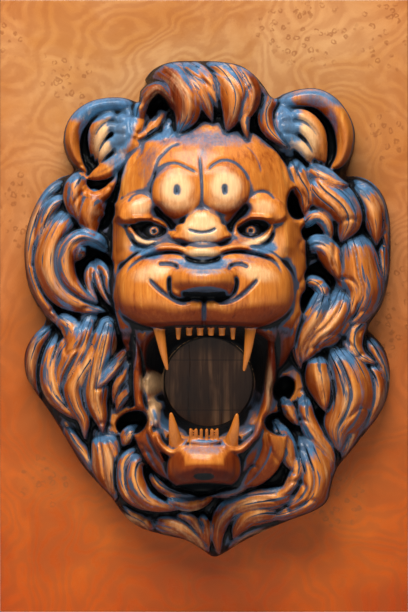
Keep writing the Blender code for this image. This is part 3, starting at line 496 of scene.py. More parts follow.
# %% The beard
BEARD = (
    ("left edge strip", [(46, 402), (51, 420), (64, 440), (77, 458), (88, 477), (104, 500)],
     13, (26, 30, 24), 0),
    ("left second strip", [(64, 424), (74, 440), (85, 455), (95, 474), (112, 502)], 11, (32, 38, 30), 0),
    ("left upright lock", [(103, 434), (109, 456), (111, 476), (115, 501)], 24, (48, 52, 38), 2),
    ("small inner curl", [(137, 428), (130, 434), (123, 446)], 11, (44, 48, 42), 0),
    ("bottom left lock", [(117, 504), (129, 516), (143, 523), (154, 537)], 21, (26, 34, 28), 0),
    ("bottom arch lock", [(156, 520), (177, 524), (192, 534), (201, 546), (208, 558)], 23, (38, 44, 30), 0),
    ("bottom thin strand", [(176, 511), (190, 516), (199, 526), (206, 542)], 7, (44, 48, 40), 0),
    ("bottom short strand", [(200, 512), (207, 524), (209, 546)], 6, (44, 46, 36), 0),
    ("right bottom band", [(312, 506), (284, 522), (258, 528), (240, 537), (226, 553)],
     15, (30, 32, 26), 0),
    ("hook lock", [(296, 488), (276, 496), (252, 499), (233, 505), (221, 518), (217, 534), (219, 553)],
     17, (50, 54, 34), 0),
    ("leaf lock", [(280, 511), (263, 510), (248, 514), (239, 524), (233, 536)], 17, (40, 50, 36), 0),
    ("crescent outer ridge", [(139, 448), (127, 458), (124, 476), (129, 492), (141, 503), (154, 509)],
     10, (56, 56, 50), 0),
    ("crescent inner ridge", [(147, 457), (137, 461), (135, 476), (141, 491), (153, 501), (177, 508)],
     14, (60, 62, 52), 0),
    ("under chin left strand", [(150, 470), (160, 484), (176, 492), (198, 495)], 8, (50, 54, 46), 0),
    ("under chin right strand", [(252, 468), (246, 481), (231, 490), (210, 495)], 8, (50, 54, 46), 0),
    ("under chin strand", [(165, 496), (178, 501), (190, 503), (203, 500), (216, 492)], 9, (50, 54, 44), 0),
)
print(len(BEARD), "locks in the beard")

# %% [markdown]
# Between the curls the carver bored deep holes, which read almost black, and cleared the ears and the space
# under the chin in the same way.

# %% The deep hollows between the curls
# Each: its name, its centre across and down, half width, half height, floor, turn in degrees
HOLLOWS = (
    ("left curl", 91, 266, 25, 20, 12, 0), ("under the left ear", 104, 215, 11, 18, 16, 15),
    ("first hole on the right", 316, 233, 15, 12, 12, 0), ("second hole", 321, 276, 18, 16, 12, 0),
    ("third hole", 310, 303, 10, 14, 14, 0), ("left jaw curl", 131, 422, 17, 12, 12, -25),
    ("right jaw curl", 284, 388, 11, 14, 12, 20), ("lower right jaw curl", 281, 422, 15, 11, 12, 10),
    ("beside the narrow leaf", 297, 205, 10, 15, 18, 0), ("right strand", 320, 418, 9, 12, 16, 0),
    ("behind the double lock", 361, 228, 8, 14, 18, -10), ("under the chin", 205, 489, 46, 8, 40, 0),
    ("left cross strands", 113, 380, 8, 12, 20, 20), ("left ear", 97, 141, 18, 30, 22, 0),
    ("right ear", 319, 137, 19, 35, 22, 0),
)
print(len(HOLLOWS), "hollows")

# %% [markdown]
# The face is laid out from large to small: first the skull and the jaws as broad domes, then the bosses over
# the brows, the eye sockets and eyeballs, and last the muzzle and the nose, which stands out furthest.

# %% Carve the face


def carve_face(c):
    """The large forms of the face."""
    # the whole face, the jaws and the forehead
    dome(c, 209, 262, 95, 126, top=100, foot=60, blend=0, power=2.8, full=0.62)
    dome(c, 206, 412, 70, 74, top=82, foot=56, power=2.4)
    dome(c, 205, 186, 82, 62, top=110, foot=70, blend=14, full=0.9)
    # the two bosses over the brows and the bridge between the eyes
    dome(c, 178, 194, 24, 25, top=112, foot=104, blend=8, full=0.7)
    dome(c, 224, 191, 24, 24, top=112, foot=104, blend=8, full=0.7)
    dome(c, 203, 226, 18, 16, top=112, foot=105, blend=7, full=0.6)
    dome(c, 201, 235, 28, 11, top=112, foot=105, blend=6, power=2.4, full=0.5)
    # brows and cheekbones
    dome(c, 140, 210, 22, 14, top=100, foot=91, blend=13, turn=-18, full=0.9)
    dome(c, 263, 210, 22, 14, top=100, foot=91, blend=13, turn=18, full=0.9)
    welt(c, [(124, 226), (127, 246)], 9, 6, ends=0)
    welt(c, [(287, 224), (284, 246)], 9, 6, ends=0)
    # eye sockets and eyeballs
    pit(c, 151, 230, 19, 9, floor=80, blend=3, turn=8, steep=4.5)
    pit(c, 253, 229, 18, 9, floor=80, blend=3, turn=-8, steep=4.5)
    dome(c, 154, 232.5, 10, 8, top=94, foot=84, blend=1)
    dome(c, 251, 231.5, 10, 8, top=94, foot=84, blend=1)
    # the upper edge of the muzzle, below the eyes
    welt(c, [(121, 268), (130, 257), (145, 250), (165, 246), (184, 246)], 5, 8)
    welt(c, [(284, 266), (276, 256), (261, 249), (243, 245), (224, 246)], 5, 8)
    # muzzle and nose
    dome(c, 205, 290, 85, 42, top=132, foot=94, blend=8, power=2.6, full=0.48)
    groove(c, [(204, 292), (204, 330)], 12, 5, ends=0)
    dome(c, 204, 279, 35, 17, top=NOSE_RISE, foot=120, blend=9, power=2.3, full=0.75)


print("the face is carved from domes, with its nose at", round(NOSE_RISE), "mm")

# %% [markdown]
# Lines come after forms, as they do under the gouge. They give the lion its frown: the arcs over the brow
# bosses, the line between them, the lids and the bags under the eyes, the nostrils and the split lip.

# %% Carve its lines, lids and nostrils
# Where each eye looks from, and its iris: the radius of its ring, of its stain and how dark that is
EYES = ((155, 232.5), (250, 232))
IRIS_RING = 5.2
IRIS_STAIN = 3.6
IRIS_DARK = 1.1


def carve_lines(c):
    """The lines that are cut into the face or stand on it."""
    # the rim that runs over the muzzle, and the lines above and below it
    lock(c, [(119, 308), (120, 286), (127, 270), (139, 259), (152, 252), (166, 249), (180, 250), (191, 254),
             (203, 256), (214, 254), (225, 250), (240, 248), (255, 251), (270, 257), (281, 267), (288, 282),
             (289, 305)], 5, (86, 119, 86), root=0.8, moat=0, crown=0.5, blend=5.0)
    groove(c, [(125, 286), (130, 270), (142, 260), (153, 256), (166, 254), (178, 254), (189, 260),
               (203, 263.5), (216, 260.5), (228, 254), (245, 254), (262, 258), (275, 265), (285, 284)],
           1.4, 2.6)
    dome(c, 203, 253, 19, 8, top=124, foot=112, blend=2, power=2.2, full=0.6)
    groove(c, [(184, 257), (192, 262), (203, 264.5), (214, 262), (222, 257)], 1.8, 6)
    groove(c, [(168, 242), (180, 242), (191, 246), (203, 247.5), (216, 246), (226, 241), (236, 241)], 1.4, 4)
    groove(c, [(186, 230), (195, 233), (203, 234), (212, 232), (218, 228)], 1.4, 3)
    # forehead lines
    groove(c, [(154, 183), (158, 165), (165, 156), (173, 149), (184, 146)], 1.3, 2.2)
    groove(c, [(243, 147), (251, 154), (257, 164), (261, 178)], 1.1, 1.2)
    groove(c, [(128, 206), (134, 198), (143, 195), (153, 200)], 1.3, 1.6)
    groove(c, [(248, 200), (257, 194), (267, 195), (275, 203)], 1.3, 1.6)
    groove(c, [(153, 186), (157, 174), (167, 167), (177, 166), (188, 171), (200, 177)], 1.3, 2.0)
    groove(c, [(205, 176), (214, 167), (224, 163), (235, 166), (245, 176), (248, 187)], 1.3, 2.0)
    groove(c, [(198, 148), (200, 163), (201.5, 180), (202, 195), (201.5, 210), (201.5, 224)],
           1.4, 2.4, ends=0.3)
    groove(c, [(176, 230), (184, 221), (194, 214), (202, 211), (211, 214), (221, 221), (228, 230)], 1.6, 1.0)
    for across in (177.5, 224.5):
        groove(c, [(across, 189.5), (across, 194.5)], 2.4, 2.5, ends=0)
    # valleys beside the bridge
    groove(c, [(155, 207), (161, 214), (169, 223), (179, 236)], 4.0, 10)
    groove(c, [(248, 205), (242, 213), (233, 223), (226, 236)], 4.0, 10)
    # lids, bags and irises
    lock(c, [(129, 226), (136, 238), (146, 244), (157, 242.5), (167, 238)], 5, (92, 98, 90),
         root=0.6, moat=1, crown=0.7)
    lock(c, [(238, 239), (248, 244), (259, 242), (267, 236), (272, 225)], 5, (92, 98, 90),
         root=0.6, moat=1, crown=0.7)
    groove(c, [(131, 232), (137, 244), (148, 248.5), (160, 244)], 1.5, 4)
    groove(c, [(246, 247), (258, 248), (268, 242), (274, 231)], 1.5, 4)
    c.eyes = np.zeros(c.x.shape)
    for across, down in EYES:
        angles = np.linspace(0, 6.2, 12)
        ring = [(across + IRIS_RING * math.cos(a), down + IRIS_RING * math.sin(a)) for a in angles]
        groove(c, ring, 0.9, 2.2, ends=0)
        groove(c, [(across - 0.8, down), (across + 0.8, down)], 1.4, 2.2, ends=0)
        near = ellipse(c, across, down, 13, 8, 0, 2.0)
        iris = np.abs(np.hypot(c.x - across, c.y - down) - IRIS_STAIN)
        dark = IRIS_DARK * smooth_step(1.0, 0.75, near) * smooth_step(0.8, 1.8, iris)
        c.eyes = np.maximum(c.eyes, dark)
    welt(c, [(130, 221), (142, 220), (155, 222), (168, 230)], 2.5, 6)
    welt(c, [(236, 229), (247, 220), (259, 219), (273, 221)], 2.5, 6)
    # nostrils and lines of the upper lip
    groove(c, [(148, 277), (158, 288), (168, 296), (178, 302), (191, 304)], 1.7, 5)
    groove(c, [(259, 277), (250, 287), (240, 296), (228, 302), (214, 303)], 1.7, 5)
    groove(c, [(171, 275), (170, 285), (172, 295), (182, 300), (194, 300)], 1.9, 9)
    groove(c, [(234, 275), (236, 285), (232, 295), (221, 300), (212, 300)], 1.9, 9)
    groove(c, [(178, 294), (190, 297), (204, 298), (218, 297), (230, 294)], 4.5, 9)
    groove(c, [(158, 265), (169, 265), (177, 267), (178, 272)], 1.8, 5)
    groove(c, [(249, 269), (239, 265), (230, 267), (228, 273)], 1.8, 5)
    groove(c, [(204, 298), (204, 310), (204, 324)], 1.8, 5, ends=0)


print("the irises are rings of", IRIS_RING, "mm")

# %% [markdown]
# The mouth is a funnel. Its lips are a rounded square, its throat is a circle, and its walls run from one to
# the other. Along each direction from the throat's middle, the share of the way to the lip gives the rise.

# %% Carve the mouth
# The round throat: its radius and the rise of its edge
THROAT_RADIUS = 45.0
THROAT_RISE = 22.0

# The open mouth: half its width, its reach up and down, and how square its upper and lower corners are
MOUTH_HALF = 70.0
MOUTH_UP = 56.0
MOUTH_DOWN = 58.0
UPPER_SQUARE = 5.0
LOWER_SQUARE = 2.6

# The lips' rise at the sides of the mouth, how much higher they arch over the throat, and their steepness
LIP_RISE = 92.0
LIP_ARCH = 22.0
LIP_WALL = 8.0

# How hollow the cheeks' inner walls are, and how much more the roof of the mouth is
WALL_BOW = 0.85
ROOF_BOW = 1.6


def carve_mouth(c):
    """The jowls, the open mouth, the lips and the chin."""
    # jowls
    lock(c, [(272, 424), (266, 450), (252, 471), (232, 488)], 34, (74, 70, 50), root=0.8, crown=0.5)
    lock(c, [(140, 412), (148, 438), (160, 462), (176, 482)], 20, (74, 72, 50), root=0.8, crown=0.5)
    # the open mouth: walls sloping in from the lips to the round throat
    dx = c.x - THROAT_ACROSS
    dy = c.y - THROAT_DOWN
    r = np.hypot(dx, dy) + 1e-6
    half_high = np.where(dy < 0, MOUTH_UP, MOUTH_DOWN)
    corner = np.where(dy < 0, UPPER_SQUARE, LOWER_SQUARE)
    lip = (np.abs(dx / r / MOUTH_HALF) ** corner + np.abs(dy / r / half_high) ** corner) ** (-1 / corner)
    part = (r - THROAT_RADIUS) / (lip - THROAT_RADIUS)
    upper = np.clip(-dy / r, 0, 1)
    lip_rise = LIP_RISE + LIP_ARCH * upper**2
    wall = THROAT_RISE + (lip_rise - THROAT_RISE) * np.clip(part, 0, None) ** (WALL_BOW + ROOF_BOW * upper)
    wall = np.where(r < THROAT_RADIUS, THROAT_RISE - WALL * (THROAT_RADIUS - r), wall)
    wall = np.where(part > 1, lip_rise + LIP_WALL * (r - lip), wall)
    c.h = np.minimum(c.h, wall)
    c.mouth = smooth_step(1.05, 0.85, part)
    # folds inside the cheeks
    welt(c, [(164, 352), (166, 384), (160, 412)], 5, 4)
    welt(c, [(148, 374), (155, 380), (158, 388)], 6, 9)
    welt(c, [(146, 397), (155, 402), (157, 415), (154, 428)], 3.5, 9)
    welt(c, [(163, 400), (164, 408)], 4, 6)
    welt(c, [(259, 388), (262, 400), (256, 412), (256, 426)], 3.5, 7)
    welt(c, [(249, 408), (249, 424)], 4, 6)
    # gouge lines on the jowls
    groove(c, [(262, 436), (257, 454), (247, 468), (234, 480)], 1.2, 2.4)
    groove(c, [(272, 440), (266, 458), (256, 473), (243, 486)], 1.0, 1.6)
    groove(c, [(144, 440), (152, 458), (163, 474), (175, 484)], 1.2, 2.4)
    # corners of the lips
    lock(c, [(134, 334), (138, 360), (139, 385), (141, 403), (148, 422), (155, 440), (164, 458)],
         7, (84, 88, 84), root=0.8, moat=0)
    lock(c, [(270, 336), (271, 362), (268, 388), (265, 405), (260, 420), (254, 434), (243, 444), (234, 448)],
         7, (84, 90, 90), root=0.8, moat=0)
    # chin, lower lip and the cups round the lower fangs
    dome(c, 204, 462, 35, 24, top=112, foot=84, blend=4, power=2.5, full=0.6)
    groove(c, [(192, 471), (203, 473), (214, 471)], 5, 4)
    lock(c, [(156, 428), (161, 442), (172, 450), (181, 446), (187, 438)], 6, (86, 96, 98), root=0.8, moat=0)
    lock(c, [(221, 438), (228, 446), (239, 447), (249, 439), (257, 428)], 6, (98, 96, 86), root=0.8, moat=0)
    pit(c, 174, 438, 9, 8, floor=70)
    pit(c, 233, 438, 10, 7, floor=70)
    lock(c, [(187, 438), (204, 440), (221, 438)], 6, (98, 102, 98), root=0.9, moat=0)


print("the mouth is", 2 * MOUTH_HALF, "by", MOUTH_UP + MOUTH_DOWN, "mm, its throat", 2 * THROAT_RADIUS, "mm")

# %% [markdown]
# The order of the work decides what covers what. The low ground comes first, then the face with its mouth,
# then the slopes beside it and the bored holes. The ears, the tuft and the mane go over them, and the outline
# is cut last.

# %% Carve the whole head
# The height grid's step, in millimetres, and how far each lock spreads beyond its drawn width, so that
# neighbours meet in a crease
GRID_STEP = 0.8
SPREAD = 1.46


def carve_head(step):
    """The whole head's rise over the grid."""
    c = Carving(step)
    # ground under the mane, the ears and the tuft
    dome(c, 207, 245, 172, 118, top=44, foot=12, blend=0, power=3.0)
    dome(c, 207, 380, 172, 178, top=44, foot=12, power=1.6)
    dome(c, 104, 142, 34, 36, top=26, foot=18, blend=3)
    dome(c, 318, 136, 32, 40, top=26, foot=18, blend=3)
    dome(c, 207, 114, 64, 53, top=68, foot=34, blend=3)
    carve_face(c)
    carve_lines(c)
    carve_mouth(c)
    # slopes from the ears to the forehead
    dome(c, 132, 137, 38, 44, top=76, foot=30, blend=4, turn=6, full=1.0)
    dome(c, 280, 131, 36, 42, top=76, foot=30, blend=4, turn=-8, full=1.0)
    for _, across, down, rx, ry, floor, turn in HOLLOWS:
        pit(c, across, down, rx, ry, floor, turn=turn)
    # the hollow inside the tuft's curl, the ears, the tuft and the mane
    pit(c, 158, 108, 12, 16, floor=40, turn=10)
    for _, path, wide, rise, grooves in EARS:
        lock(c, path, wide * SPREAD, rise, grooves, root=0.9, moat=1.6, blend=1.5)
    for _, path, wide, rise, grooves in TUFT:
        lock(c, path, wide * SPREAD, rise, grooves, root=1.0, hair=1)
    for group in (MANE_LEFT, MANE_RIGHT, BEARD):
        for _, path, wide, rise, grooves in group:
            lock(c, path, wide * SPREAD, rise, grooves, hair=1)
    trim(c, OUTLINE)
    return c


head_map = carve_head(GRID_STEP)
print("the grid has", head_map.h.size, "places, the highest", round(float(head_map.h.max()), 1), "mm up")

# %% [markdown]
# The teeth stand free of the gums, with shadow behind them, so a height above the panel cannot describe
# them. They are tapering closed shapes along short curved paths, and they sink into the gums at their roots.

# %% Teeth
TOOTH_SIDES = 20
TOOTH_RINGS = 26

# How quickly a tooth narrows from its root, and the share of its length that is dark at the gum
TOOTH_TAPER = 0.7
TOOTH_DARK = 0.36

# How far down the upper gum's edge lies
UPPER_GUM = 322.0


def tooth(path, root, tip):
    """A tapering, closed tooth along a path, as its places and faces."""
    crest = spline(path, TOOTH_RINGS)
    ahead = np.gradient(crest, axis=0)
    ahead /= np.linalg.norm(ahead, axis=1, keepdims=True)
    one = np.cross(ahead, (0.0, 0.0, 1.0))
    one /= np.linalg.norm(one, axis=1, keepdims=True)
    two = np.cross(one, ahead)
    t = np.linspace(0, 1, TOOTH_RINGS)
    radius = (tip + (root - tip) * (1 - t) ** TOOTH_TAPER)[:, None, None]
    angle = np.linspace(0, 2 * np.pi, TOOTH_SIDES, endpoint=False)[None, :, None]
    rings = crest[:, None] + radius * (np.cos(angle) * one[:, None] + np.sin(angle) * two[:, None])
    places = rings.reshape(-1, 3)
    faces = []
    for k in range(TOOTH_RINGS - 1):
        for j in range(TOOTH_SIDES):
            n = (j + 1) % TOOTH_SIDES
            faces.append((k * TOOTH_SIDES + j, k * TOOTH_SIDES + n,
                          (k + 1) * TOOTH_SIDES + n, (k + 1) * TOOTH_SIDES + j))
    faces.append(tuple(range(TOOTH_SIDES)))
    faces.append(tuple(range((TOOTH_RINGS - 1) * TOOTH_SIDES, TOOTH_RINGS * TOOTH_SIDES)))
    return places, faces


# Teeth: the crest's path as (across, down, rise), and the radius at root and tip
UPPER_FANGS = (
    ([(157, 314, 92), (161, 334, 97), (164, 350, 98), (168, 369, 96)], 6.6, 1.2),
    ([(252, 314, 92), (249, 334, 97), (247, 350, 98), (243, 370, 96)], 6.6, 1.2),
)
LOWER_FANGS = (
    ([(178, 450, 80), (176, 438, 90), (174, 426, 97), (171.5, 410, 102)], 8.6, 1.0),
    ([(229, 450, 80), (231, 438, 90), (234, 427, 97), (236.5, 411, 102)], 8.6, 1.0),
)
UPPER_INCISORS = 6
UPPER_PITCH = 10.7
UPPER_FIRST = 178.8
LOWER_INCISORS = 6
LOWER_PITCH = 5.2
LOWER_FIRST = 191.0


def tooth_rows():
    """Every tooth as (path, radius at its root, radius at its tip)."""
    rows = list(UPPER_FANGS + LOWER_FANGS)
    for k in range(UPPER_INCISORS):
        across = UPPER_FIRST + k * UPPER_PITCH
        outer = k in (0, UPPER_INCISORS - 1)
        tip = 339 if outer else 335
        rows.append(([(across, 312, 96), (across, 324, 100), (across, tip, 101)], 3.6, 1.8 if outer else 3.0))
    for k in range(LOWER_INCISORS):
        across = LOWER_FIRST + k * LOWER_PITCH
        rows.append(([(across, 443, 92), (across, 434, 98), (across, 426.5, 102)], 1.8, 1.6))
    return rows


print(len(tooth_rows()), "teeth")

# %% [markdown]
# The height grid becomes a closed block on a thin plate below the panel's face, the teeth are put in as
# closed shapes that overlap it, and a voxel remesh fuses them into one skin. Decimation then spends the
# triangles where the carving bends, and two Boolean cuts give the flat back and the recess for the board.

# %% Fuse the carving and the teeth into one skin
# The heights below the panel's face to which the ground and the plate's underside go, in millimetres
PLATE_TOP = -8.0
PLATE_FOOT = -16.0

# The size of the remesh's cubes, in millimetres
VOXEL = 1.25


def block(carving):
    """The carved surface as a closed block on a plate, as its places and faces."""
    rows, columns = carving.h.shape
    top = np.stack([carving.x, carving.y, np.maximum(carving.h, PLATE_TOP)], axis=-1).reshape(-1, 3)
    number = np.arange(rows * columns).reshape(rows, columns)
    quads = np.stack([number[:-1, :-1], number[:-1, 1:], number[1:, 1:], number[1:, :-1]], axis=-1)
    edge = np.concatenate([number[0], number[1:, -1], number[-1, -2::-1], number[-2:0:-1, 0]])
    foot = top[edge].copy()
    foot[:, 2] = PLATE_FOOT
    below = np.arange(len(edge)) + len(top)
    sides = np.stack([edge, below, np.roll(below, -1), np.roll(edge, -1)], axis=-1)
    faces = np.concatenate([quads.reshape(-1, 4), sides]).tolist() + [below[::-1].tolist()]
    return np.concatenate([top, foot]), faces


def new_object(name, places, faces):
    """An object from places in the layout and faces, facing out."""
    mesh = bpy.data.meshes.new(name)
    mesh.from_pydata(to_world(*np.asarray(places, float).T).tolist(), [], faces)
    mesh.update()
    thing = bpy.data.objects.new(name, mesh)
    bpy.context.scene.collection.objects.link(thing)
    return thing


def settle(thing):
    """Keeps the shape an object has with its modifiers as its own mesh."""
    graph = bpy.context.evaluated_depsgraph_get()
    mesh = bpy.data.meshes.new_from_object(thing.evaluated_get(graph))
    thing.modifiers.clear()
    thing.data = mesh


places, faces = block(head_map)
places = [places]
counted = len(places[0])
for row in tooth_rows():
    tooth_places, tooth_faces = tooth(*row)
    places.append(tooth_places)
    faces += [tuple(v + counted for v in face) for face in tooth_faces]
    counted += len(tooth_places)
head = new_object("carved_head", np.concatenate(places), faces)
fuse = head.modifiers.new("fuse", "REMESH")
fuse.mode = "VOXEL"
fuse.voxel_size = VOXEL / 1000
settle(head)
print("fused skin has", len(head.data.polygons), "faces")

# %% [markdown]
# A Boolean cut needs two closed shapes: the skin and a cutter. A block that reaches beyond the panel on all
# sides keeps what is in front of the head's back, and a cylinder takes out the recess that holds the board.

# %% Tools for thinning and cutting

def triangles(mesh):
    """How many triangles a mesh draws as."""
    return sum(len(p.vertices) - 2 for p in mesh.polygons)


def cylinder(name, radius, low, high, sides=128):
    """A closed cylinder about the throat between two rises, as an object."""
    angle = np.linspace(0, 2 * np.pi, sides, endpoint=False)
    ring = np.stack([THROAT_ACROSS + radius * np.cos(angle), THROAT_DOWN + radius * np.sin(angle)], axis=-1)
    ends = [np.column_stack([ring, np.full(sides, rise)]) for rise in (low, high)]
    faces = [(k, (k + 1) % sides, sides + (k + 1) % sides, sides + k) for k in range(sides)]
    faces += [tuple(range(sides))[::-1], tuple(range(sides, 2 * sides))]
    return new_object(name, np.concatenate(ends), faces)


def cuboid(name, low, high):
    """A closed block between two places, as an object."""
    corners = [(a, b, c) for a in (low[0], high[0]) for b in (low[1], high[1]) for c in (low[2], high[2])]
    faces = [(0, 1, 3, 2), (4, 6, 7, 5), (0, 4, 5, 1), (2, 3, 7, 6), (0, 2, 6, 4), (1, 5, 7, 3)]
    return new_object(name, corners, faces)


def cut(thing, cutter, operation):
    """Cuts one object with another, and removes the cutter."""
    face_out(cutter)
    step = thing.modifiers.new(operation.lower(), "BOOLEAN")
    step.operation = operation
    step.object = cutter
    step.solver = "EXACT"
    settle(thing)
    bpy.data.objects.remove(cutter)


def face_out(thing):
    """Turns all of an object's faces outwards."""
    bm = bmesh.new()
    bm.from_mesh(thing.data)
    bmesh.ops.recalc_face_normals(bm, faces=bm.faces)
    bm.to_mesh(thing.data)
    bm.free()


print("the skin has", triangles(head.data), "triangles before thinning")

# %% Thin it and cut it flat at the back
# The triangles that are left after thinning, and the angle in degrees from which an edge is drawn sharp
HEAD_TRIANGLES = 186000
SHARP = 60

# The gap round the board, how far the cutters reach beyond the panel and below its face, and over the nose
BOARD_GAP = 0.3
BEYOND = 50
BELOW = -5.0
OVER = 250

thin = head.modifiers.new("thin", "DECIMATE")
thin.ratio = HEAD_TRIANGLES / triangles(head.data)
settle(head)
front = cuboid("keep", (-BEYOND, -BEYOND, BACK_RISE), (PANEL_WIDE + BEYOND, PANEL_HIGH + BEYOND, OVER))
cut(head, front, "INTERSECT")
recess_radius = (board_high[0] - board_low[0]) / 2 * 1000 + BOARD_GAP
recess_rise = (PANEL_FACE - board_low[1]) * 1000 + BOARD_GAP
cut(head, cylinder("rebate", recess_radius, BELOW, recess_rise), "DIFFERENCE")
head.data.shade_smooth()
head.data.set_sharp_from_angle(angle=math.radians(SHARP))
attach(head, "root")
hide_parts("lion_head")
print("head", triangles(head.data), "triangles")

# %% [markdown]
# Stain settles where the brush leaves it and the rag cannot reach, and the rag rubs the high places back to a
# lighter wood. Both follow the shape, so the height grid gives them: a place that lies below its surroundings
# is a hollow, and several widths of blur find wide hollows and thin grooves alike. Light and shade are
# painted in as well: some places get painted shade, some stain or painted shade, some wear and painted
# highlights, some blue stain and a painted sky sheen, and some are cleared of stain. Those are patches, each
# an ellipse with a strength. The values are kept on the mesh's points.

# %% Patches of stain, wear, and painted light and shade
# Each patch: centre across and down, half width, half height, turn in degrees, strength
# Painted shade: under the muzzle, the nose and the chin, on the jowls, in the corners of the mouth and on the
# sides turned from the light
PAINTED_SHADE_PATCHES = (
    (205, 474, 34, 14, 0, 1.9), (204, 326, 66, 6, 0, 1.9), (134, 346, 10, 24, 0, 1.4),
    (277, 346, 10, 24, 0, 1.4), (153, 452, 16, 30, -25, 0.9), (256, 458, 17, 36, 20, 0.9),
    (116, 250, 8, 70, 0, 0.2), (296, 245, 12, 75, 0, 0.2), (155, 318, 34, 13, 8, 0.4),
    (252, 318, 34, 13, -8, 0.6), (204, 318, 40, 9, 0, 0.5), (126, 345, 16, 22, 0, 1.0),
    (282, 345, 14, 26, 0, 1.0), (170, 216, 18, 8, 30, 0.5), (236, 214, 18, 8, -30, 0.5),
    (205, 520, 110, 36, 0, 0.25), (30, 250, 10, 80, 0, 0.35), (386, 250, 8, 80, 0, 0.35),
    (138, 368, 6, 38, 0, 0.8), (269, 368, 5, 36, 0, 0.6), (166, 92, 22, 30, -20, 0.8),
    (262, 96, 14, 32, -20, 0.7), (34, 380, 10, 50, 0, 0.35), (380, 390, 9, 50, 0, 0.35),
    (205, 486, 50, 14, 0, 0.6), (146, 168, 12, 30, 8, 0.3), (262, 170, 12, 30, -8, 0.3),
    (178, 462, 8, 16, 0, 1.2), (231, 462, 8, 16, 0, 1.2), (160, 214, 12, 12, 0, 0.5),
    (243, 212, 12, 12, 0, 0.5), (185, 213, 14, 5, 15, 0.4), (217, 211, 14, 5, -15, 0.4),
)
# Stain, with painted shade under the nose, the muzzle and the chin
STAIN_AND_SHADE_PATCHES = (
    (205, 293, 22, 6, 0, 0.75), (204, 473, 11, 4, 0, 1.7), (204, 486, 40, 8, 0, 0.6),
    (157, 213, 7, 10, -30, 0.35), (245, 212, 7, 10, 30, 0.35), (126, 334, 10, 5, 0, 0.8),
    (281, 332, 10, 5, 0, 0.8), (204, 327, 62, 4, 0, 1.0),
    (134, 346, 4, 22, 0, 1.1), (277, 346, 4, 22, 0, 1.0),
    (160, 397, 4, 4, 0, 0.5), (150, 168, 15, 26, 8, 0.22),
    (205, 148, 50, 14, 0, 0.2), (262, 160, 12, 26, -8, 0.14), (158, 108, 9, 14, 10, 0.4),
    (177.5, 193, 2.0, 3.6, 0, 0.55), (224.5, 192, 2.0, 3.6, 0, 0.55),
)
# Blue stain, and a painted sky sheen
BLUE_STAIN_AND_SHEEN_PATCHES = (
    (124, 125, 15, 36, 10, 1.1), (121, 166, 9, 22, 10, 0.8), (152, 168, 14, 20, 0, 0.35),
    (286, 122, 14, 34, -10, 1.0),
    (102, 112, 34, 12, -14, 1.0), (318, 102, 26, 10, 8, 0.6), (168, 134, 26, 8, -15, 0.8),
    (205, 142, 56, 10, 0, 0.3), (204, 276, 22, 6, 0, 0.35), (204, 448, 28, 5, 0, 0.24),
    (330, 128, 8, 24, 0, 0.5), (86, 138, 7, 24, 0, 0.7),
    (158, 168, 14, 12, 0, 0.25), (202, 165, 7, 20, 0, 0.4), (204, 240, 24, 4, 0, 0.45),
    (205, 266, 24, 5, 0, 0.7), (115, 160, 12, 12, 0, 0.6), (296, 158, 10, 16, -20, 0.6),
    (318, 236, 14, 20, -20, 0.6), (320, 300, 18, 16, 10, 0.6), (98, 300, 14, 26, -20, 0.6),
    (66, 300, 8, 40, -20, 0.5), (352, 200, 20, 16, 30, 0.5), (222, 508, 30, 10, -10, 0.5),
    (145, 252, 18, 7, 15, 0.8), (262, 250, 18, 7, -15, 0.8), (204, 263, 45, 4, 0, 0.6),
    (110, 366, 12, 24, 25, 0.7), (290, 366, 8, 18, -10, 0.6),
    (300, 440, 12, 26, -15, 0.7), (205, 440, 30, 4, 0, 0.5), (165, 494, 26, 8, 15, 0.6),
    (90, 250, 18, 14, 0, 0.5), (52, 200, 16, 20, 35, 0.4), (160, 420, 10, 16, -25, 0.5),
    (252, 430, 8, 14, 25, 0.5), (340, 350, 26, 10, 0, 0.4), (177.5, 193, 6, 7, 0, 0.5),
    (224.5, 192, 6, 7, 0, 0.5),
)
CLEARED = (
    (154, 384, 14, 16, 0, 1.0), (156, 408, 9, 18, 0, 0.8), (268, 385, 5, 34, 0, 0.8),
    (256, 405, 9, 30, -6, 0.6), (141, 209, 16, 12, -10, 0.5),
    (262, 209, 16, 12, 10, 0.5), (150, 250, 16, 6, 15, 0.7), (258, 250, 16, 6, -15, 0.7),
    (165, 205, 8, 10, 0, 0.4), (240, 202, 8, 10, 0, 0.4), (130, 420, 12, 8, -25, 0.25),
    (204, 247, 62, 6, 0, 0.6), (133, 200, 10, 8, 0, 0.6), (271, 200, 10, 8, 0, 0.6),
    (150, 265, 22, 5, -25, 0.4), (258, 265, 22, 5, 25, 0.4),
)
# Wear and painted highlights, among them the glints in the eyes and the gloss inside the cheeks
WEAR_AND_HIGHLIGHT_PATCHES = (
    (177, 191, 16, 15, 0, 1.2), (225, 189, 16, 15, 0, 1.2), (202, 230, 19, 16, 0, 1.1),
    (178, 204, 18, 10, 0, 0.5), (225, 202, 18, 10, 0, 0.5),
    (141, 209, 12, 8, -10, 0.7), (263, 209, 12, 8, 10, 0.7), (203, 254, 18, 5, 0, 1.0),
    (134, 244, 10, 12, 20, 0.35), (276, 246, 11, 16, -20, 0.4), (205, 271, 22, 6, 0, 0.5),
    (152, 274, 20, 9, -12, 0.7), (256, 274, 20, 9, 12, 0.7), (205, 449, 22, 5, 0, 0.3),
    (153, 382, 13, 12, 0, 0.85), (155, 408, 8, 16, 0, 0.9), (153.5, 234.5, 2.4, 1.2, 0, 1.2),
    (251.5, 234, 2.4, 1.2, 0, 1.2),
    (268, 388, 4, 30, 0, 0.35), (147, 242, 16, 4, 15, 1.0),
    (256, 242, 16, 4, -15, 1.0), (112, 140, 18, 24, 15, 1.1), (300, 138, 18, 24, -15, 1.1),
)
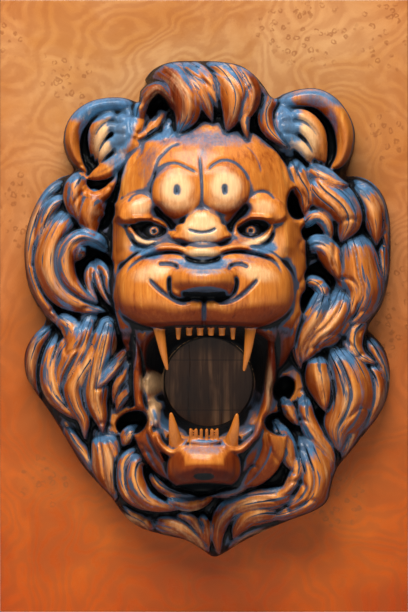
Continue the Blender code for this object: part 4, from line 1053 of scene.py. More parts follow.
print(len(PAINTED_SHADE_PATCHES + STAIN_AND_SHADE_PATCHES + BLUE_STAIN_AND_SHEEN_PATCHES + CLEARED + WEAR_AND_HIGHLIGHT_PATCHES), "patches")

# %% [markdown]
# The points of the skin don't lie on the grid, so a value is read between the four grid places round each.

# %% Carry a grid's values to the head's points


def blur(a, reach):
    """A grid blurred over about this many of its steps."""
    n = max(1, round(reach))
    width = 2 * n + 1
    for _ in range(3):
        for axis in (0, 1):
            pad = [(0, 0), (0, 0)]
            pad[axis] = (n + 1, n)
            total = np.cumsum(np.pad(a, pad, mode="edge"), axis=axis)
            last = np.take(total, range(width, total.shape[axis]), axis)
            a = (last - np.take(total, range(0, total.shape[axis] - width), axis)) / width
    return a


def around(values, reach):
    """A grid's mean over about this many millimetres, counting only the carving itself."""
    n = reach / GRID_STEP
    return blur(values * carved, n) / np.maximum(blur(carved, n), 0.02)


def points(thing):
    """The points of an object's mesh, in millimetres."""
    co = np.empty(len(thing.data.vertices) * 3, np.float32)
    thing.data.vertices.foreach_get("co", co)
    return co.reshape(-1, 3) * 1000


def at_points(thing, values):
    """A grid's values at each point of an object's mesh."""
    co = points(thing)
    column = np.clip((co[:, 0] + PANEL_WIDE / 2 - head_map.x[0, 0]) / GRID_STEP, 0, values.shape[1] - 1.001)
    row = np.clip((PANEL_HIGH / 2 - co[:, 2] - head_map.y[0, 0]) / GRID_STEP, 0, values.shape[0] - 1.001)
    j = column.astype(int)
    i = row.astype(int)
    a = column - j
    b = row - i
    above = values[i, j] * (1 - a) + values[i, j + 1] * a
    below = values[i + 1, j] * (1 - a) + values[i + 1, j + 1] * a
    return above * (1 - b) + below * b


def keep(thing, name, values):
    """Stores one number for each point of an object's mesh."""
    thing.data.attributes.new(name, "FLOAT", "POINT").data.foreach_set("value", values.astype(np.float32))


ground = np.maximum(head_map.h, 0)
carved = (head_map.h > 0).astype(float)
print("the carving covers", round(100 * float(carved.mean())), "% of the grid")

# %% [markdown]
# Hollows are found at three widths: fine gouge cuts, the creases between locks, and the wide troughs. The
# weights below are set against how dark each of them is on the carving.

# %% Hollows, where stain gathers, and some painted shade
# For each width of hollow: the blur that finds it and the depth that fills it, in millimetres, and its weight
HOLLOW_KINDS = ((1.6, 1.8, 0.6), (4.0, 7.0, 0.9), (9.0, 18.0, 0.9))

fine = around(ground, 0.8)
hollow = 0.0
for reach, full, weight in HOLLOW_KINDS:
    hollow = hollow + np.clip((around(ground, reach) - fine) / full, 0, 1) * weight


def patches(table):
    """The strongest of a table's patches at each place on the grid, soft at their rims."""
    total = np.zeros(ground.shape)
    for across, down, rx, ry, turn, strength in table:
        far = ellipse(head_map, across, down, rx, ry, turn, 2.0)
        total = np.maximum(total, strength * smooth_step(1.35, 0.45, far))
    return total


# the roof of the mouth, a lock's tip, root and edges, and a lock at all
roof = smooth_step(430, 350, head_map.y)
on_lock = head_map.strands > 0
tips = smooth_step(0.72, 1.0, head_map.run) * on_lock
roots = smooth_step(0.34, 0.02, head_map.run) * on_lock
lock_edges = smooth_step(0.80, 1.05, np.abs(head_map.lane)) * on_lock
# Painted highlights along the crests of the locks
crest_highlights = smooth_step(0.6, 0.1, np.abs(head_map.lane)) * on_lock

# the light line round the throat
throat_ring = (np.hypot(head_map.x - THROAT_ACROSS, head_map.y - THROAT_DOWN) - THROAT_RADIUS - 0.8) / 0.9
throat_ring = np.exp(-throat_ring**2)

# Painted shade inside the mouth: darker the deeper it goes, most under its roof
hollow += head_map.mouth * np.clip((96 - ground) / 40, 0, 1) * (0.45 + 0.75 * roof)
hollow = hollow * (1 - patches(CLEARED)) + patches(STAIN_AND_SHADE_PATCHES)
hollow = np.maximum(np.maximum(hollow, head_map.eyes), 0.25 * head_map.rim)
hollow = np.maximum(hollow, 0.62 * head_map.ink)
hollow += 0.25 * tips + 0.20 * lock_edges
hollow *= 1 - 0.7 * head_map.rim
hollow *= 1 - 0.8 * throat_ring
print("hollows cover", round(100 * float((hollow > 0.5)[head_map.h > 0].mean())), "% of the carving")

# %% [markdown]
# A slope's direction matters as much as its height. Slopes that face sideways or down get painted shade,
# slopes that face up get a painted blue sky sheen, the roots of the locks keep a blue stain, and the crests
# get painted highlights.

# %% Slopes: painted shade, blue stain with painted sheen, wear with painted highlights
falls_down, falls_right = np.gradient(around(ground, 1.2), GRID_STEP)
steepness = np.sqrt(1 + falls_down**2 + falls_right**2)
upward = falls_down / steepness
# Painted shade on slopes that face sideways or down, in the shade patches, on the head's walls at its
# outline, under the roof of the mouth and a little on every lock
painted_side_shade = (0.55 + 0.3 * on_lock) * np.abs(falls_right) / steepness + 1.1 * np.maximum(-upward, 0)
painted_side_shade += 0.8 * patches(PAINTED_SHADE_PATCHES) + 1.5 * head_map.rim + 1.7 * head_map.mouth * roof + 0.14 * on_lock
# Blue stain and painted sky sheen: the sheen on slopes that face up, both at the roots of the locks and in
# the patches, none where painted shade lies
blue_stain_and_sheen = (0.35 + 0.45 * on_lock) * smooth_step(0.25, 0.75, upward) + 0.55 * roots + patches(BLUE_STAIN_AND_SHEEN_PATCHES)
blue_stain_and_sheen *= 1 - patches(PAINTED_SHADE_PATCHES)
# Wear and painted highlights: the patches, the light line round the throat and painted highlights on the
# crests of the locks
wear_and_highlight = patches(WEAR_AND_HIGHLIGHT_PATCHES) + 0.8 * throat_ring + 0.25 * crest_highlights * (1 - tips) * (1 - roots)
print("slopes that face up cover", round(100 * float((upward > 0.5)[head_map.h > 0].mean())), "%")

# %% [markdown]
# The teeth aren't part of the grid, so their points are found by their distance from each tooth's own skin.
# They keep the wood's own warm colour, and darken only towards the gum.

# %% Find the teeth and store every value
# How far about the throat teeth are looked for, in millimetres
TOOTH_AREA = 85


def near_teeth(reach=0.7):
    """One for each point of the head that lies on a tooth, and the tooth's own shade at its root."""
    places = np.column_stack([points(head)[:, 0] + PANEL_WIDE / 2, PANEL_HIGH / 2 - points(head)[:, 2],
                              PANEL_FACE * 1000 - points(head)[:, 1]])
    off_throat = np.hypot(places[:, 0] - THROAT_ACROSS, places[:, 1] - THROAT_DOWN)
    some = np.flatnonzero(off_throat < TOOTH_AREA)
    on = np.zeros(len(places))
    shade = np.zeros(len(places))
    t = np.linspace(0, 1, TOOTH_RINGS)
    for path, root, tip in tooth_rows():
        crest = spline(path, TOOTH_RINGS)
        radius = tip + (root - tip) * (1 - t) ** TOOTH_TAPER
        far = np.linalg.norm(places[some, None] - crest[None], axis=2) - radius
        best = far.argmin(1)
        close = smooth_step(reach + 0.8, reach, far[np.arange(len(some)), best])
        better = close > on[some]
        on[some[better]] = close[better]
        at_gum = smooth_step(TOOTH_DARK, 0.0, t[best])
        if path[0][1] < THROAT_DOWN:
            at_gum = np.maximum(at_gum, smooth_step(UPPER_GUM + 6, UPPER_GUM, places[some, 1]))
        shade[some[better]] = at_gum[better]
    return on, shade


teeth, gums = near_teeth()


def blend_in(values, for_teeth=0.0):
    """A grid's values at the head's points, with another value on the teeth."""
    return at_points(head, values) * (1 - teeth) + for_teeth * teeth


keep(head, "tooth", teeth)
keep(head, "hollow", np.clip(blend_in(hollow, 1.3 * gums), 0, 1.5))
keep(head, "painted_side_shade", blend_in(painted_side_shade, 0.2))
keep(head, "blue_stain_and_sheen", blend_in(blue_stain_and_sheen))
keep(head, "wear_and_highlight", blend_in(wear_and_highlight))
for name in ("lane", "run", "strands"):
    keep(head, name, blend_in(getattr(head_map, name)))
print("teeth take", int((teeth > 0.5).sum()), "of the head's", len(teeth), "points")

# %% [markdown]
# Each finish is a Principled shader with a few reusable groups in front of it. A short helper makes nodes:
# it sets a node's own settings, and plugs in either a value or another node's output for each input.

# %% Helpers for shader nodes


def set_inputs(tree, made, inputs):
    """A node's inputs set to values, or linked to other nodes' outputs."""
    for key, value in inputs.items():
        if isinstance(value, bpy.types.NodeSocket):
            tree.links.new(value, made.inputs[key])
        else:
            made.inputs[key].default_value = value


def node(tree, kind, inputs=None, **settings):
    """A shader node with its settings, its inputs set or linked."""
    made = tree.nodes.new(kind)
    for key, value in settings.items():
        setattr(made, key, value)
    set_inputs(tree, made, inputs or {})
    return made


def math_node(tree, operation, a, b=0.0):
    """One sum on two values."""
    return node(tree, "ShaderNodeMath", {0: a, 1: b}, operation=operation).outputs[0]


def plus(tree, a, b):
    """Two values added."""
    return math_node(tree, "ADD", a, b)


def minus(tree, a, b):
    """One value less another."""
    return math_node(tree, "SUBTRACT", a, b)


def times(tree, a, b):
    """Two values multiplied."""
    return math_node(tree, "MULTIPLY", a, b)


def vector_node(tree, operation, a, b):
    """One sum on two places."""
    return node(tree, "ShaderNodeVectorMath", {0: a, 1: b}, operation=operation).outputs[0]


print("a helper for each sum:", [f.__name__ for f in (plus, minus, times, vector_node)])

# %% [markdown]
# Noise is the raw material of every finish here. It is stretched along the grain, its range is spread out
# with soft ends, and the result decides where one colour gives way to another.

# %% Helpers for ranges, colours and noise


def span(tree, value, low, high, to_low=0.0, to_high=1.0):
    """A value's range stretched to another, eased and held at its ends."""
    inputs = {"Value": value, "From Min": low, "From Max": high, "To Min": to_low, "To Max": to_high}
    return node(tree, "ShaderNodeMapRange", inputs, interpolation_type="SMOOTHSTEP").outputs["Result"]


def mix(tree, factor, a, b, blend="MIX"):
    """Two colours mixed."""
    inputs = {"Factor": factor, 6: a, 7: b}
    return node(tree, "ShaderNodeMix", inputs, data_type="RGBA", blend_type=blend).outputs[2]


def noise(tree, place, scale, detail=4.0, rough=0.55, bend=0.0):
    """A noise value at a place."""
    inputs = {"Vector": place, "Scale": scale, "Detail": detail, "Roughness": rough, "Distortion": bend}
    return node(tree, "ShaderNodeTexNoise", inputs).outputs["Fac"]


def stretch(tree, place, scale):
    """A place stretched along each axis."""
    return node(tree, "ShaderNodeMapping", {"Vector": place, "Scale": scale}).outputs["Vector"]


print("and for the rest:", [f.__name__ for f in (span, mix, noise, stretch)])

# %% [markdown]
# An effect that several materials share is a node group: it is built once with named inputs and outputs, and
# each material then puts in its own colours and values.

# %% Helpers for node groups and materials


def new_group(name, inputs, outputs):
    """An empty node group with named sockets: (tree, its inputs, its output node)."""
    tree = bpy.data.node_groups.new(name, "ShaderNodeTree")
    kinds = {"value": "NodeSocketFloat", "colour": "NodeSocketColor", "vector": "NodeSocketVector"}
    for label, kind in inputs:
        tree.interface.new_socket(label, in_out="INPUT", socket_type=kinds[kind])
    for label, kind in outputs:
        tree.interface.new_socket(label, in_out="OUTPUT", socket_type=kinds[kind])
    source = tree.nodes.new("NodeGroupInput")
    return tree, source.outputs, tree.nodes.new("NodeGroupOutput")


def place_group(tree, group, inputs):
    """A group put into a material, with its inputs set or linked."""
    made = tree.nodes.new("ShaderNodeGroup")
    made.node_tree = group
    set_inputs(tree, made, inputs)
    return made.outputs


def new_material(name):
    """A material with its tree and its Principled shader."""
    mat = bpy.data.materials.new(name)
    mat.use_nodes = True
    return mat, mat.node_tree, mat.node_tree.nodes["Principled BSDF"]


def link_all(tree, target, links):
    """Other nodes' outputs linked to a node's inputs by name."""
    for key, value in links.items():
        tree.links.new(value, target.inputs[key])


print("a new material starts with a Principled shader")

# %% [markdown]
# Wood grain runs along the board, here up and down. Long thin noise gives the streaks, a slower noise bends
# them and changes their tone, and short dark flecks are the pores. The group takes its colours and scale
# from each material, so the head and the board in its mouth share it.

# %% Node group: wood grain
grain, source, sink = new_group(
    "wood_grain",
    [("Place", "vector"), ("Scale", "value"), ("Dark", "colour"), ("Middle", "colour"), ("Light", "colour")],
    [("Colour", "colour"), ("Streaks", "value")])
slow = noise(grain, stretch(grain, source["Place"], (9.0, 9.0, 3.0)), 1.0, 3.0)
wander = times(grain, slow, 0.03)
shift = node(grain, "ShaderNodeCombineXYZ", {"X": wander, "Y": wander}).outputs[0]
bent = vector_node(grain, "ADD", source["Place"], shift)
scaled = node(grain, "ShaderNodeVectorMath", {0: bent, "Scale": source["Scale"]}, operation="SCALE")
scaled = scaled.outputs[0]
streaks = noise(grain, stretch(grain, scaled, (220.0, 220.0, 9.0)), 1.0, 5.0, 0.6)
bands = noise(grain, stretch(grain, scaled, (28.0, 28.0, 11.0)), 1.0, 4.0, 0.6)
pores = noise(grain, stretch(grain, scaled, (900.0, 900.0, 45.0)), 1.0, 2.0, 0.5)
pores = span(grain, pores, 0.60, 0.72)
tone = plus(grain, times(grain, streaks, 0.45), times(grain, bands, 0.55))
low = mix(grain, span(grain, tone, 0.34, 0.50), source["Dark"], source["Middle"])
both = mix(grain, span(grain, tone, 0.50, 0.66), low, source["Light"])
flecked = mix(grain, times(grain, pores, 0.35), both, source["Dark"])
link_all(grain, sink, {"Colour": flecked, "Streaks": streaks})
print("wood_grain has", len(grain.nodes), "nodes")

# %% [markdown]
# Hair is drawn with fine gouge lines along each lock. The head's points know how far they lie across their
# lock and how many strands it has, so a wave across the lock gives lines that run with it and close in on its
# point. Noise breaks the lines up, as a hand-held gouge would. A second noise is drawn out along the lock: it
# carries the blue stain with its painted sky sheen, and the wear with its painted highlights, in long
# streaks, and a third leaves some strands darker.

# %% Node group: strands of hair
strand_group, source, sink = new_group(
    "hair_strands", [("Lane", "value"), ("Run", "value"), ("Strands", "value"), ("Place", "vector")],
    [("Line", "value"), ("Streak", "value"), ("Shade", "value")])
wobble = noise(strand_group, stretch(strand_group, source["Place"], (30.0, 30.0, 30.0)), 1.0, 2.0)
half_strands = times(strand_group, source["Strands"], 0.5)
lane = times(strand_group, source["Lane"], half_strands)
lane = plus(strand_group, lane, times(strand_group, wobble, 0.35))
wave = math_node(strand_group, "PINGPONG", lane, 0.5)
broken = noise(strand_group, stretch(strand_group, source["Place"], (26.0, 26.0, 26.0)), 1.0, 2.0)
narrowed = plus(strand_group, wave, span(strand_group, broken, 0.42, 0.62, 0.14, 0.0))
line = span(strand_group, narrowed, 0.13, 0.03)
on_hair = span(strand_group, source["Strands"], 0.5, 1.0)
line = times(strand_group, line, on_hair)
# a place in the lock's own terms: across it, down it, and apart from other locks
in_strands = times(strand_group, source["Lane"], source["Strands"])
lock_across = times(strand_group, in_strands, 0.62)
lock_down = times(strand_group, source["Run"], 1.4)
drift = noise(strand_group, stretch(strand_group, source["Place"], (9.0, 9.0, 9.0)), 1.0)
apart = plus(strand_group, times(strand_group, source["Strands"], 5.3), drift)
in_lock = node(strand_group, "ShaderNodeCombineXYZ", {"X": lock_across, "Y": lock_down, "Z": apart})
in_lock = in_lock.outputs[0]
streak = minus(strand_group, noise(strand_group, in_lock, 1.1, 3.0, 0.6), 0.5)
streak = times(strand_group, streak, on_hair)
shifted = vector_node(strand_group, "ADD", in_lock, (7.0, 3.0, 1.0))
shade = span(strand_group, noise(strand_group, shifted, 1.3, 3.0, 0.6), 0.50, 0.68)
shade = times(strand_group, shade, on_hair)
link_all(strand_group, sink, {"Line": line, "Streak": streak, "Shade": shade})
print("hair_strands has", len(strand_group.nodes), "nodes")

# %% [markdown]
# The finish goes on in layers. Painted shade darkens the wood on the slopes that face sideways and down, and
# once more where it is deepest. Wear and painted highlights make it pale. Blue stain and a painted sky sheen
# stay in places, hazier in some than in others. Last, the hollows go slate and then blue-black: stain, and
# painted shade where that is marked in them. The edges of all of these are ragged, as a rag leaves them, so
# noise moves the points where they begin.

# %% Node group: stain, wear, and painted light and shade
finish_group, source, sink = new_group(
    "stain_and_painted_light",
    [("Colour", "colour"), ("Hollow", "value"), ("PaintedShade", "value"), ("BlueStainAndSheen", "value"), ("WearAndHighlight", "value"),
     ("Place", "vector"), ("Side", "colour"), ("PaleWearAndHighlight", "colour"), ("StainAndSheenBlue", "colour"), ("Slate", "colour"),
     ("StainAndShade", "colour")],
    [("Colour", "colour"), ("Dull", "value")])
cloudy = noise(finish_group, stretch(finish_group, source["Place"], (48.0, 48.0, 30.0)), 1.0, 6.0, 0.68)
brushed = noise(finish_group, stretch(finish_group, source["Place"], (420.0, 420.0, 55.0)), 1.0, 3.0, 0.6)
rag = plus(finish_group, times(finish_group, cloudy, 0.65), times(finish_group, brushed, 0.35))
rag = times(finish_group, minus(finish_group, rag, 0.5), 1.3)


def roughened(value, amount):
    """A value whose edges are made ragged."""
    return plus(finish_group, value, times(finish_group, rag, amount))


hollow_here = roughened(source["Hollow"], 0.45)
painted_shade_here = roughened(source["PaintedShade"], 0.5)
stain_and_sheen_here = roughened(source["BlueStainAndSheen"], 0.9)
wear_and_highlight_here = roughened(source["WearAndHighlight"], 0.7)
# Painted shade, and more painted shade where it is deepest
painted_shade_share = span(finish_group, painted_shade_here, 0.25, 1.0)
colour = mix(finish_group, painted_shade_share, source["Colour"], source["Side"], "MULTIPLY")
deepest_painted_shade = span(finish_group, painted_shade_here, 1.0, 2.0)
colour = mix(finish_group, deepest_painted_shade, colour, source["Side"], "MULTIPLY")
# Wear and painted highlights make it paler
colour = mix(finish_group, span(finish_group, wear_and_highlight_here, 0.0, 1.2, 0.0, 0.85), colour, source["PaleWearAndHighlight"])
# Blue stain and painted sky sheen, thick in some places and hazy in others
thick = span(finish_group, cloudy, 0.42, 0.66, 0.0, 0.75)
thin_haze = span(finish_group, cloudy, 0.44, 0.28, 0.0, 0.45)
hazy = mix(finish_group, thick, source["StainAndSheenBlue"], source["Slate"])
hazy = mix(finish_group, thin_haze, hazy, source["PaleWearAndHighlight"])
colour = mix(finish_group, span(finish_group, stain_and_sheen_here, 0.25, 0.85, 0.0, 0.95), colour, hazy)
streaked = span(finish_group, brushed, 0.60, 0.40, 0.0, 0.16)
colour = mix(finish_group, streaked, colour, source["Side"], "MULTIPLY")
slated = times(finish_group, span(finish_group, hollow_here, 0.14, 0.42, 0.0, 0.92),
               minus(finish_group, 1.0, deepest_painted_shade))
colour = mix(finish_group, slated, colour, source["Slate"])
colour = mix(finish_group, span(finish_group, hollow_here, 0.56, 0.98), colour, source["StainAndShade"])
dull = math_node(finish_group, "MAXIMUM", span(finish_group, hollow_here, 0.2, 0.8),
                 span(finish_group, source["PaintedShade"], 0.2, 0.8))
link_all(finish_group, sink, {"Colour": colour, "Dull": dull})
print("stain_and_painted_light has", len(finish_group.nodes), "nodes")

# %% [markdown]
# The head is the only piece with all three groups: grain for the wood, strands for the hair, and the stain
# with its painted light and shade over both. The values stored on its points come in through attribute nodes.
# The lacquer is a thin coat, and it is dulled wherever stain or painted shade lies, because stain in a hollow
# is never polished.

# %% Finish of the carved head
head_finish, tree, shader = new_material("carved_wood")
place = node(tree, "ShaderNodeTexCoord").outputs["Object"]
wood = place_group(tree, grain, {
    "Place": place, "Scale": 1.0, "Dark": (0.34, 0.075, 0.010, 1), "Middle": (0.60, 0.185, 0.024, 1),
    "Light": (0.80, 0.33, 0.060, 1)})
names = ("hollow", "painted_side_shade", "blue_stain_and_sheen", "wear_and_highlight", "tooth", "lane", "run", "strands")
measured = {}
for name in names:
    stored = node(tree, "ShaderNodeAttribute", attribute_name=name, attribute_type="GEOMETRY")
    measured[name] = stored.outputs["Fac"]
drawn = place_group(tree, strand_group, {
    "Lane": measured["lane"], "Run": measured["run"], "Strands": measured["strands"], "Place": place})
darker = plus(tree, measured["hollow"], times(tree, drawn["Line"], 0.5))
darker = plus(tree, darker, times(tree, drawn["Shade"], 0.5))
# Blue stain with painted sheen, and wear with painted highlights, streaked along the locks
bluer = plus(tree, measured["blue_stain_and_sheen"], times(tree, drawn["Streak"], 2.4))
paler = minus(tree, measured["wear_and_highlight"], times(tree, drawn["Streak"], 1.5))
toothed = mix(tree, measured["tooth"], wood["Colour"], (0.52, 0.155, 0.018, 1))
antique = place_group(tree, finish_group, {
    "Colour": toothed, "Hollow": darker, "PaintedShade": measured["painted_side_shade"], "BlueStainAndSheen": bluer,
    "WearAndHighlight": paler, "Place": place,
    # Colours of painted shade, of wear and painted highlights, of blue stain and painted sheen, then slate,
    # and stain with painted shade
    "Side": (0.34, 0.18, 0.14, 1), "PaleWearAndHighlight": (0.92, 0.60, 0.31, 1), "StainAndSheenBlue": (0.050, 0.185, 0.36, 1),
    "Slate": (0.030, 0.070, 0.125, 1), "StainAndShade": (0.005, 0.0065, 0.0085, 1)})
grooved = minus(tree, times(tree, wood["Streaks"], 0.12), drawn["Line"])
bump = node(tree, "ShaderNodeBump", {"Height": grooved, "Strength": 0.8, "Distance": 0.0014})
link_all(tree, shader, {
    "Base Color": antique["Colour"], "Roughness": span(tree, wood["Streaks"], 0.3, 0.7, 0.44, 0.60),
    "Normal": bump.outputs["Normal"], "Coat Weight": span(tree, antique["Dull"], 0.0, 1.0, 0.50, 0.08)})
shader.inputs["Specular IOR Level"].default_value = 0.10
shader.inputs["Coat Roughness"].default_value = 0.20
shader.inputs["Coat IOR"].default_value = 1.5
head.data.materials.clear()
head.data.materials.append(head_finish)
print("carved_wood done")

# %% [markdown]
# Burl veneer is sliced from a growth on the trunk, where the grain swirls round hundreds of dormant buds.
# It reads as three things: slow contour lines that flow and fold, clusters of small dark eyes with light
# rings, and a warm colour that drifts across the sheet. The contours are the level lines of a bent noise,
# and the eyes are broken rings in a texture of cells, shown only where the buds gather.

# %% Node group: burl figure
burl, source, sink = new_group(
    "burl_figure",
    [("Place", "vector"), ("Gather", "value"), ("Pale", "colour"), ("Deep", "colour"), ("Line", "colour"),
     ("Glow", "colour"), ("Eye", "colour")],
    [("Colour", "colour"), ("Figure", "value")])
flat = vector_node(burl, "MULTIPLY", source["Place"], (1.0, 0.0, 1.0))
swirl = node(burl, "ShaderNodeTexNoise", {"Vector": flat, "Scale": 5.0, "Detail": 3.0, "Roughness": 0.55})
swirl = vector_node(burl, "SUBTRACT", swirl.outputs["Color"], (0.5, 0.5, 0.5))
swirl = vector_node(burl, "MULTIPLY", swirl, (0.16, 0.0, 0.16))
bent = vector_node(burl, "ADD", flat, swirl)
# flowing lines
field = noise(burl, bent, 7.0, 2.0, 0.5)
rings = math_node(burl, "SINE", times(burl, field, 150.0))
fibre = noise(burl, bent, 160.0, 4.0, 0.6)
contour = plus(burl, times(burl, rings, 0.22), fibre)
contour = span(burl, contour, 0.25, 0.85)
cloud = noise(burl, bent, 9.0, 4.0, 0.6)
# where the buds gather, and their eyes
ragged = times(burl, minus(burl, noise(burl, flat, 30.0, 3.0, 0.6), 0.5), 2.6)
gather = span(burl, plus(burl, source["Gather"], ragged), 0.25, 0.75)
jitter = node(burl, "ShaderNodeTexNoise", {"Vector": flat, "Scale": 150.0, "Detail": 2.0})
jitter = vector_node(burl, "MULTIPLY", jitter.outputs["Color"], (0.006, 0.0, 0.006))
uneven = vector_node(burl, "ADD", flat, jitter)
cells = node(burl, "ShaderNodeTexVoronoi", {"Vector": uneven, "Scale": 120.0}, feature="F1")
ring = math_node(burl, "ABSOLUTE", minus(burl, cells.outputs["Distance"], 0.26))
eye = span(burl, ring, 0.03, 0.16, 1.0, 0.0)
some = span(burl, noise(burl, flat, 170.0, 2.0, 0.5), 0.36, 0.52)
eye = times(burl, times(burl, eye, gather), some)
body = mix(burl, span(burl, cloud, 0.35, 0.65), source["Deep"], source["Pale"])
# the colours, one over another
line = times(burl, minus(burl, 1.0, contour), 0.36)
lined = mix(burl, line, body, source["Line"])
haloed = mix(burl, times(burl, gather, 0.08), lined, source["Glow"])
eyed = mix(burl, times(burl, eye, 0.55), haloed, source["Eye"])
link_all(burl, sink, {"Colour": eyed, "Figure": contour})
print("burl_figure has", len(burl.nodes), "nodes")

# %% [markdown]
# The veneer goes from a deep orange at the bottom to a paler top, a painted light that falls from above, and
# painted shade makes it darker and redder towards its edges. Its buds gather in a few patches. Only the face
# is veneered: the panel's edges and back show the plain wood under it, which the depth of each point decides.

# %% Finish of the panel
# Where the burl's buds gather: centre across and down, half width, half height, in millimetres
BUDS = ((12, 36, 16, 20), (70, 78, 30, 24), (306, 32, 52, 30), (384, 38, 24, 36), (392, 300, 14, 60),
        (46, 480, 26, 26), (330, 500, 34, 26), (16, 205, 14, 40), (384, 140, 20, 24))

panel_finish, tree, shader = new_material("burl_veneer")
place = node(tree, "ShaderNodeTexCoord").outputs["Object"]
axes = node(tree, "ShaderNodeSeparateXYZ", {"Vector": place}).outputs
# Painted light: the veneer goes paler towards the top
fall = span(tree, axes["Z"], panel_low[2], panel_high[2])
gathered = 0.0
for across, down, wide, high in BUDS:
    off_x = minus(tree, axes["X"], (across - PANEL_WIDE / 2) / 1000)
    off_z = minus(tree, axes["Z"], (PANEL_HIGH / 2 - down) / 1000)
    off_x = math_node(tree, "POWER", times(tree, off_x, 1000 / wide), 2.0)
    off_z = math_node(tree, "POWER", times(tree, off_z, 1000 / high), 2.0)
    near_buds = span(tree, plus(tree, off_x, off_z), 1.8, 0.2)
    gathered = math_node(tree, "MAXIMUM", near_buds, gathered)
pale = mix(tree, fall, (0.55, 0.102, 0.002, 1), (0.58, 0.305, 0.128, 1))
deep = mix(tree, fall, (0.43, 0.064, 0.001, 1), (0.48, 0.200, 0.055, 1))
glow = mix(tree, fall, (0.60, 0.19, 0.020, 1), (0.76, 0.44, 0.19, 1))
veneer = place_group(tree, burl, {
    "Place": place, "Gather": gathered, "Pale": pale, "Deep": deep, "Glow": glow,
    "Line": (0.30, 0.085, 0.018, 1), "Eye": (0.24, 0.075, 0.022, 1)})
# painted shade: the veneer is darker and redder towards its edges
to_side = math_node(tree, "ABSOLUTE", times(tree, axes["X"], 2000 / PANEL_WIDE))
to_end = math_node(tree, "ABSOLUTE", times(tree, axes["Z"], 2000 / PANEL_HIGH))
painted_edge_shade = plus(tree, span(tree, to_side, 0.72, 1.0), span(tree, to_end, 0.80, 1.0))
painted_edge_shade = times(tree, painted_edge_shade, 0.46)
toned = mix(tree, painted_edge_shade, veneer["Colour"], (0.86, 0.62, 0.42, 1), "MULTIPLY")
core = place_group(tree, grain, {
    "Place": place, "Scale": 0.6, "Dark": (0.10, 0.030, 0.010, 1), "Middle": (0.20, 0.065, 0.020, 1),
    "Light": (0.28, 0.10, 0.035, 1)})
on_face = span(tree, axes["Y"], PANEL_FACE + 0.0009, PANEL_FACE + 0.0006)
colour = mix(tree, on_face, core["Colour"], toned)
link_all(tree, shader, {
    "Base Color": colour, "Roughness": span(tree, veneer["Figure"], 0.0, 1.0, 0.34, 0.26),
    "Coat Weight": times(tree, on_face, 0.15)})
shader.inputs["Coat Roughness"].default_value = 0.25
shader.inputs["Specular IOR Level"].default_value = 0.2
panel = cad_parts["burl_panel"]
panel.data.materials.clear()
panel.data.materials.append(panel_finish)
print("burl_veneer done")

# %% [markdown]
# The board behind the throat shares the wood grain in near-black browns, under a glossy lacquer. Two fine
# joints run across it, and a painted shadow darkens it below the upper teeth.

# %% Finish of the board in the mouth
# How far down the two fine lines across the board lie, in millimetres
BOARD_JOINTS = (360.0, 410.0)

# Between which depths a painted shadow darkens the board towards the upper teeth, and the black that it and
# the joints go to
BOARD_PAINTED_SHADOW = (366.0, 338.0)
BOARD_SHADOW_AND_JOINT_BLACK = (0.012, 0.006, 0.004, 1)

board_finish, tree, shader = new_material("dark_wood")
place = node(tree, "ShaderNodeTexCoord").outputs["Object"]
wood = place_group(tree, grain, {
    "Place": place, "Scale": 0.75, "Dark": (0.010, 0.004, 0.002, 1), "Middle": (0.12, 0.046, 0.019, 1),
    "Light": (0.52, 0.25, 0.11, 1)})
height = node(tree, "ShaderNodeSeparateXYZ", {"Vector": place}).outputs["Z"]
joint = 0.0
for down in BOARD_JOINTS:
    off = minus(tree, height, (PANEL_HIGH / 2 - down) / 1000)
    off = math_node(tree, "ABSOLUTE", off)
    joint = plus(tree, span(tree, off, 0.0009, 0.0002), joint)
shaded_from, shaded_to = [(PANEL_HIGH / 2 - down) / 1000 for down in BOARD_PAINTED_SHADOW]
# Painted shadow below the upper teeth
under = span(tree, height, shaded_from, shaded_to, 0.0, 0.8)
board_colour = mix(tree, under, wood["Colour"], BOARD_SHADOW_AND_JOINT_BLACK)
jointed = mix(tree, times(tree, joint, 0.6), board_colour, BOARD_SHADOW_AND_JOINT_BLACK)
link_all(tree, shader, {
    "Base Color": jointed, "Roughness": span(tree, wood["Streaks"], 0.3, 0.7, 0.26, 0.42)})
shader.inputs["Coat Weight"].default_value = 0.7
shader.inputs["Coat Roughness"].default_value = 0.1
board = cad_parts["mouth_board"]
board.data.materials.clear()
board.data.materials.append(board_finish)
print("dark_wood done")

# %% [markdown]
# A pale floor and a plain pale world keep attention on the carving. Lacquered wood shows the lights that it
# reflects: a wide, slightly cool softbox overhead puts a sheen on every slope that faces up, and a large
# warm one in front of it lights the faces.

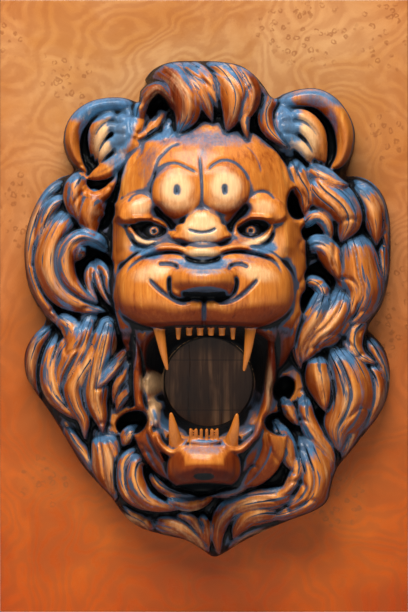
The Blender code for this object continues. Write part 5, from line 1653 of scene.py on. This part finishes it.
# %% Floor, world and lights
FLOOR = panel_low[2]
floor_mesh = bpy.data.meshes.new("floor")
floor_mesh.from_pydata([(-6, -6, FLOOR), (6, -6, FLOOR), (6, 6, FLOOR), (-6, 6, FLOOR)], [], [(0, 1, 2, 3)])
floor = bpy.data.objects.new("floor", floor_mesh)
bpy.context.scene.collection.objects.link(floor)
floor_finish, tree, shader = new_material("floor")
shader.inputs["Base Color"].default_value = (0.72, 0.71, 0.69, 1)
shader.inputs["Roughness"].default_value = 0.7
floor.data.materials.append(floor_finish)

world = bpy.data.worlds.new("studio")
bpy.context.scene.world = world
world.use_nodes = True
world.node_tree.nodes["Background"].inputs["Color"].default_value = (0.85, 0.88, 0.92, 1)
world.node_tree.nodes["Background"].inputs["Strength"].default_value = 0.08


def softbox(name, place, wide, high, power, colour, aim=(0.0, -0.05, 0.0)):
    """A rectangular area light aimed at the carving."""
    data = bpy.data.lights.new(name, "AREA")
    data.shape = "RECTANGLE"
    data.size = wide
    data.size_y = high
    data.energy = power
    data.color = colour
    lamp = bpy.data.objects.new(name, data)
    lamp.location = place
    lamp.rotation_mode = "QUATERNION"
    lamp.rotation_quaternion = (Vector(aim) - Vector(place)).to_track_quat("-Z", "Y")
    bpy.context.scene.collection.objects.link(lamp)
    return lamp


softbox("overhead", (0.0, -0.35, 1.3), 1.8, 0.8, 5, (0.80, 0.90, 1.0))
softbox("front", (-0.30, -1.45, 1.65), 1.7, 1.2, 80, (1.0, 0.96, 0.90))

# %% [markdown]
# The photograph looks straight at the panel, which fills it from edge to edge. A long lens far away keeps
# the carving's own proportions: near parts grow by only a few hundredths.

# %% Camera
DISTANCE = 5.0
SENSOR = 36.0
camera_data = bpy.data.cameras.new("camera")
camera_data.sensor_width = SENSOR
camera_data.lens = SENSOR * DISTANCE / (PANEL_HIGH / 1000)
camera_data.clip_end = 50
camera = bpy.data.objects.new("camera", camera_data)
camera.location = (0, PANEL_FACE - DISTANCE, 0)
camera.rotation_euler = (math.radians(90), 0, 0)
bpy.context.scene.collection.objects.link(camera)
bpy.context.scene.camera = camera
bpy.context.scene.view_settings.view_transform = "Standard"
print("lens", round(camera_data.lens), "mm at", DISTANCE, "m")
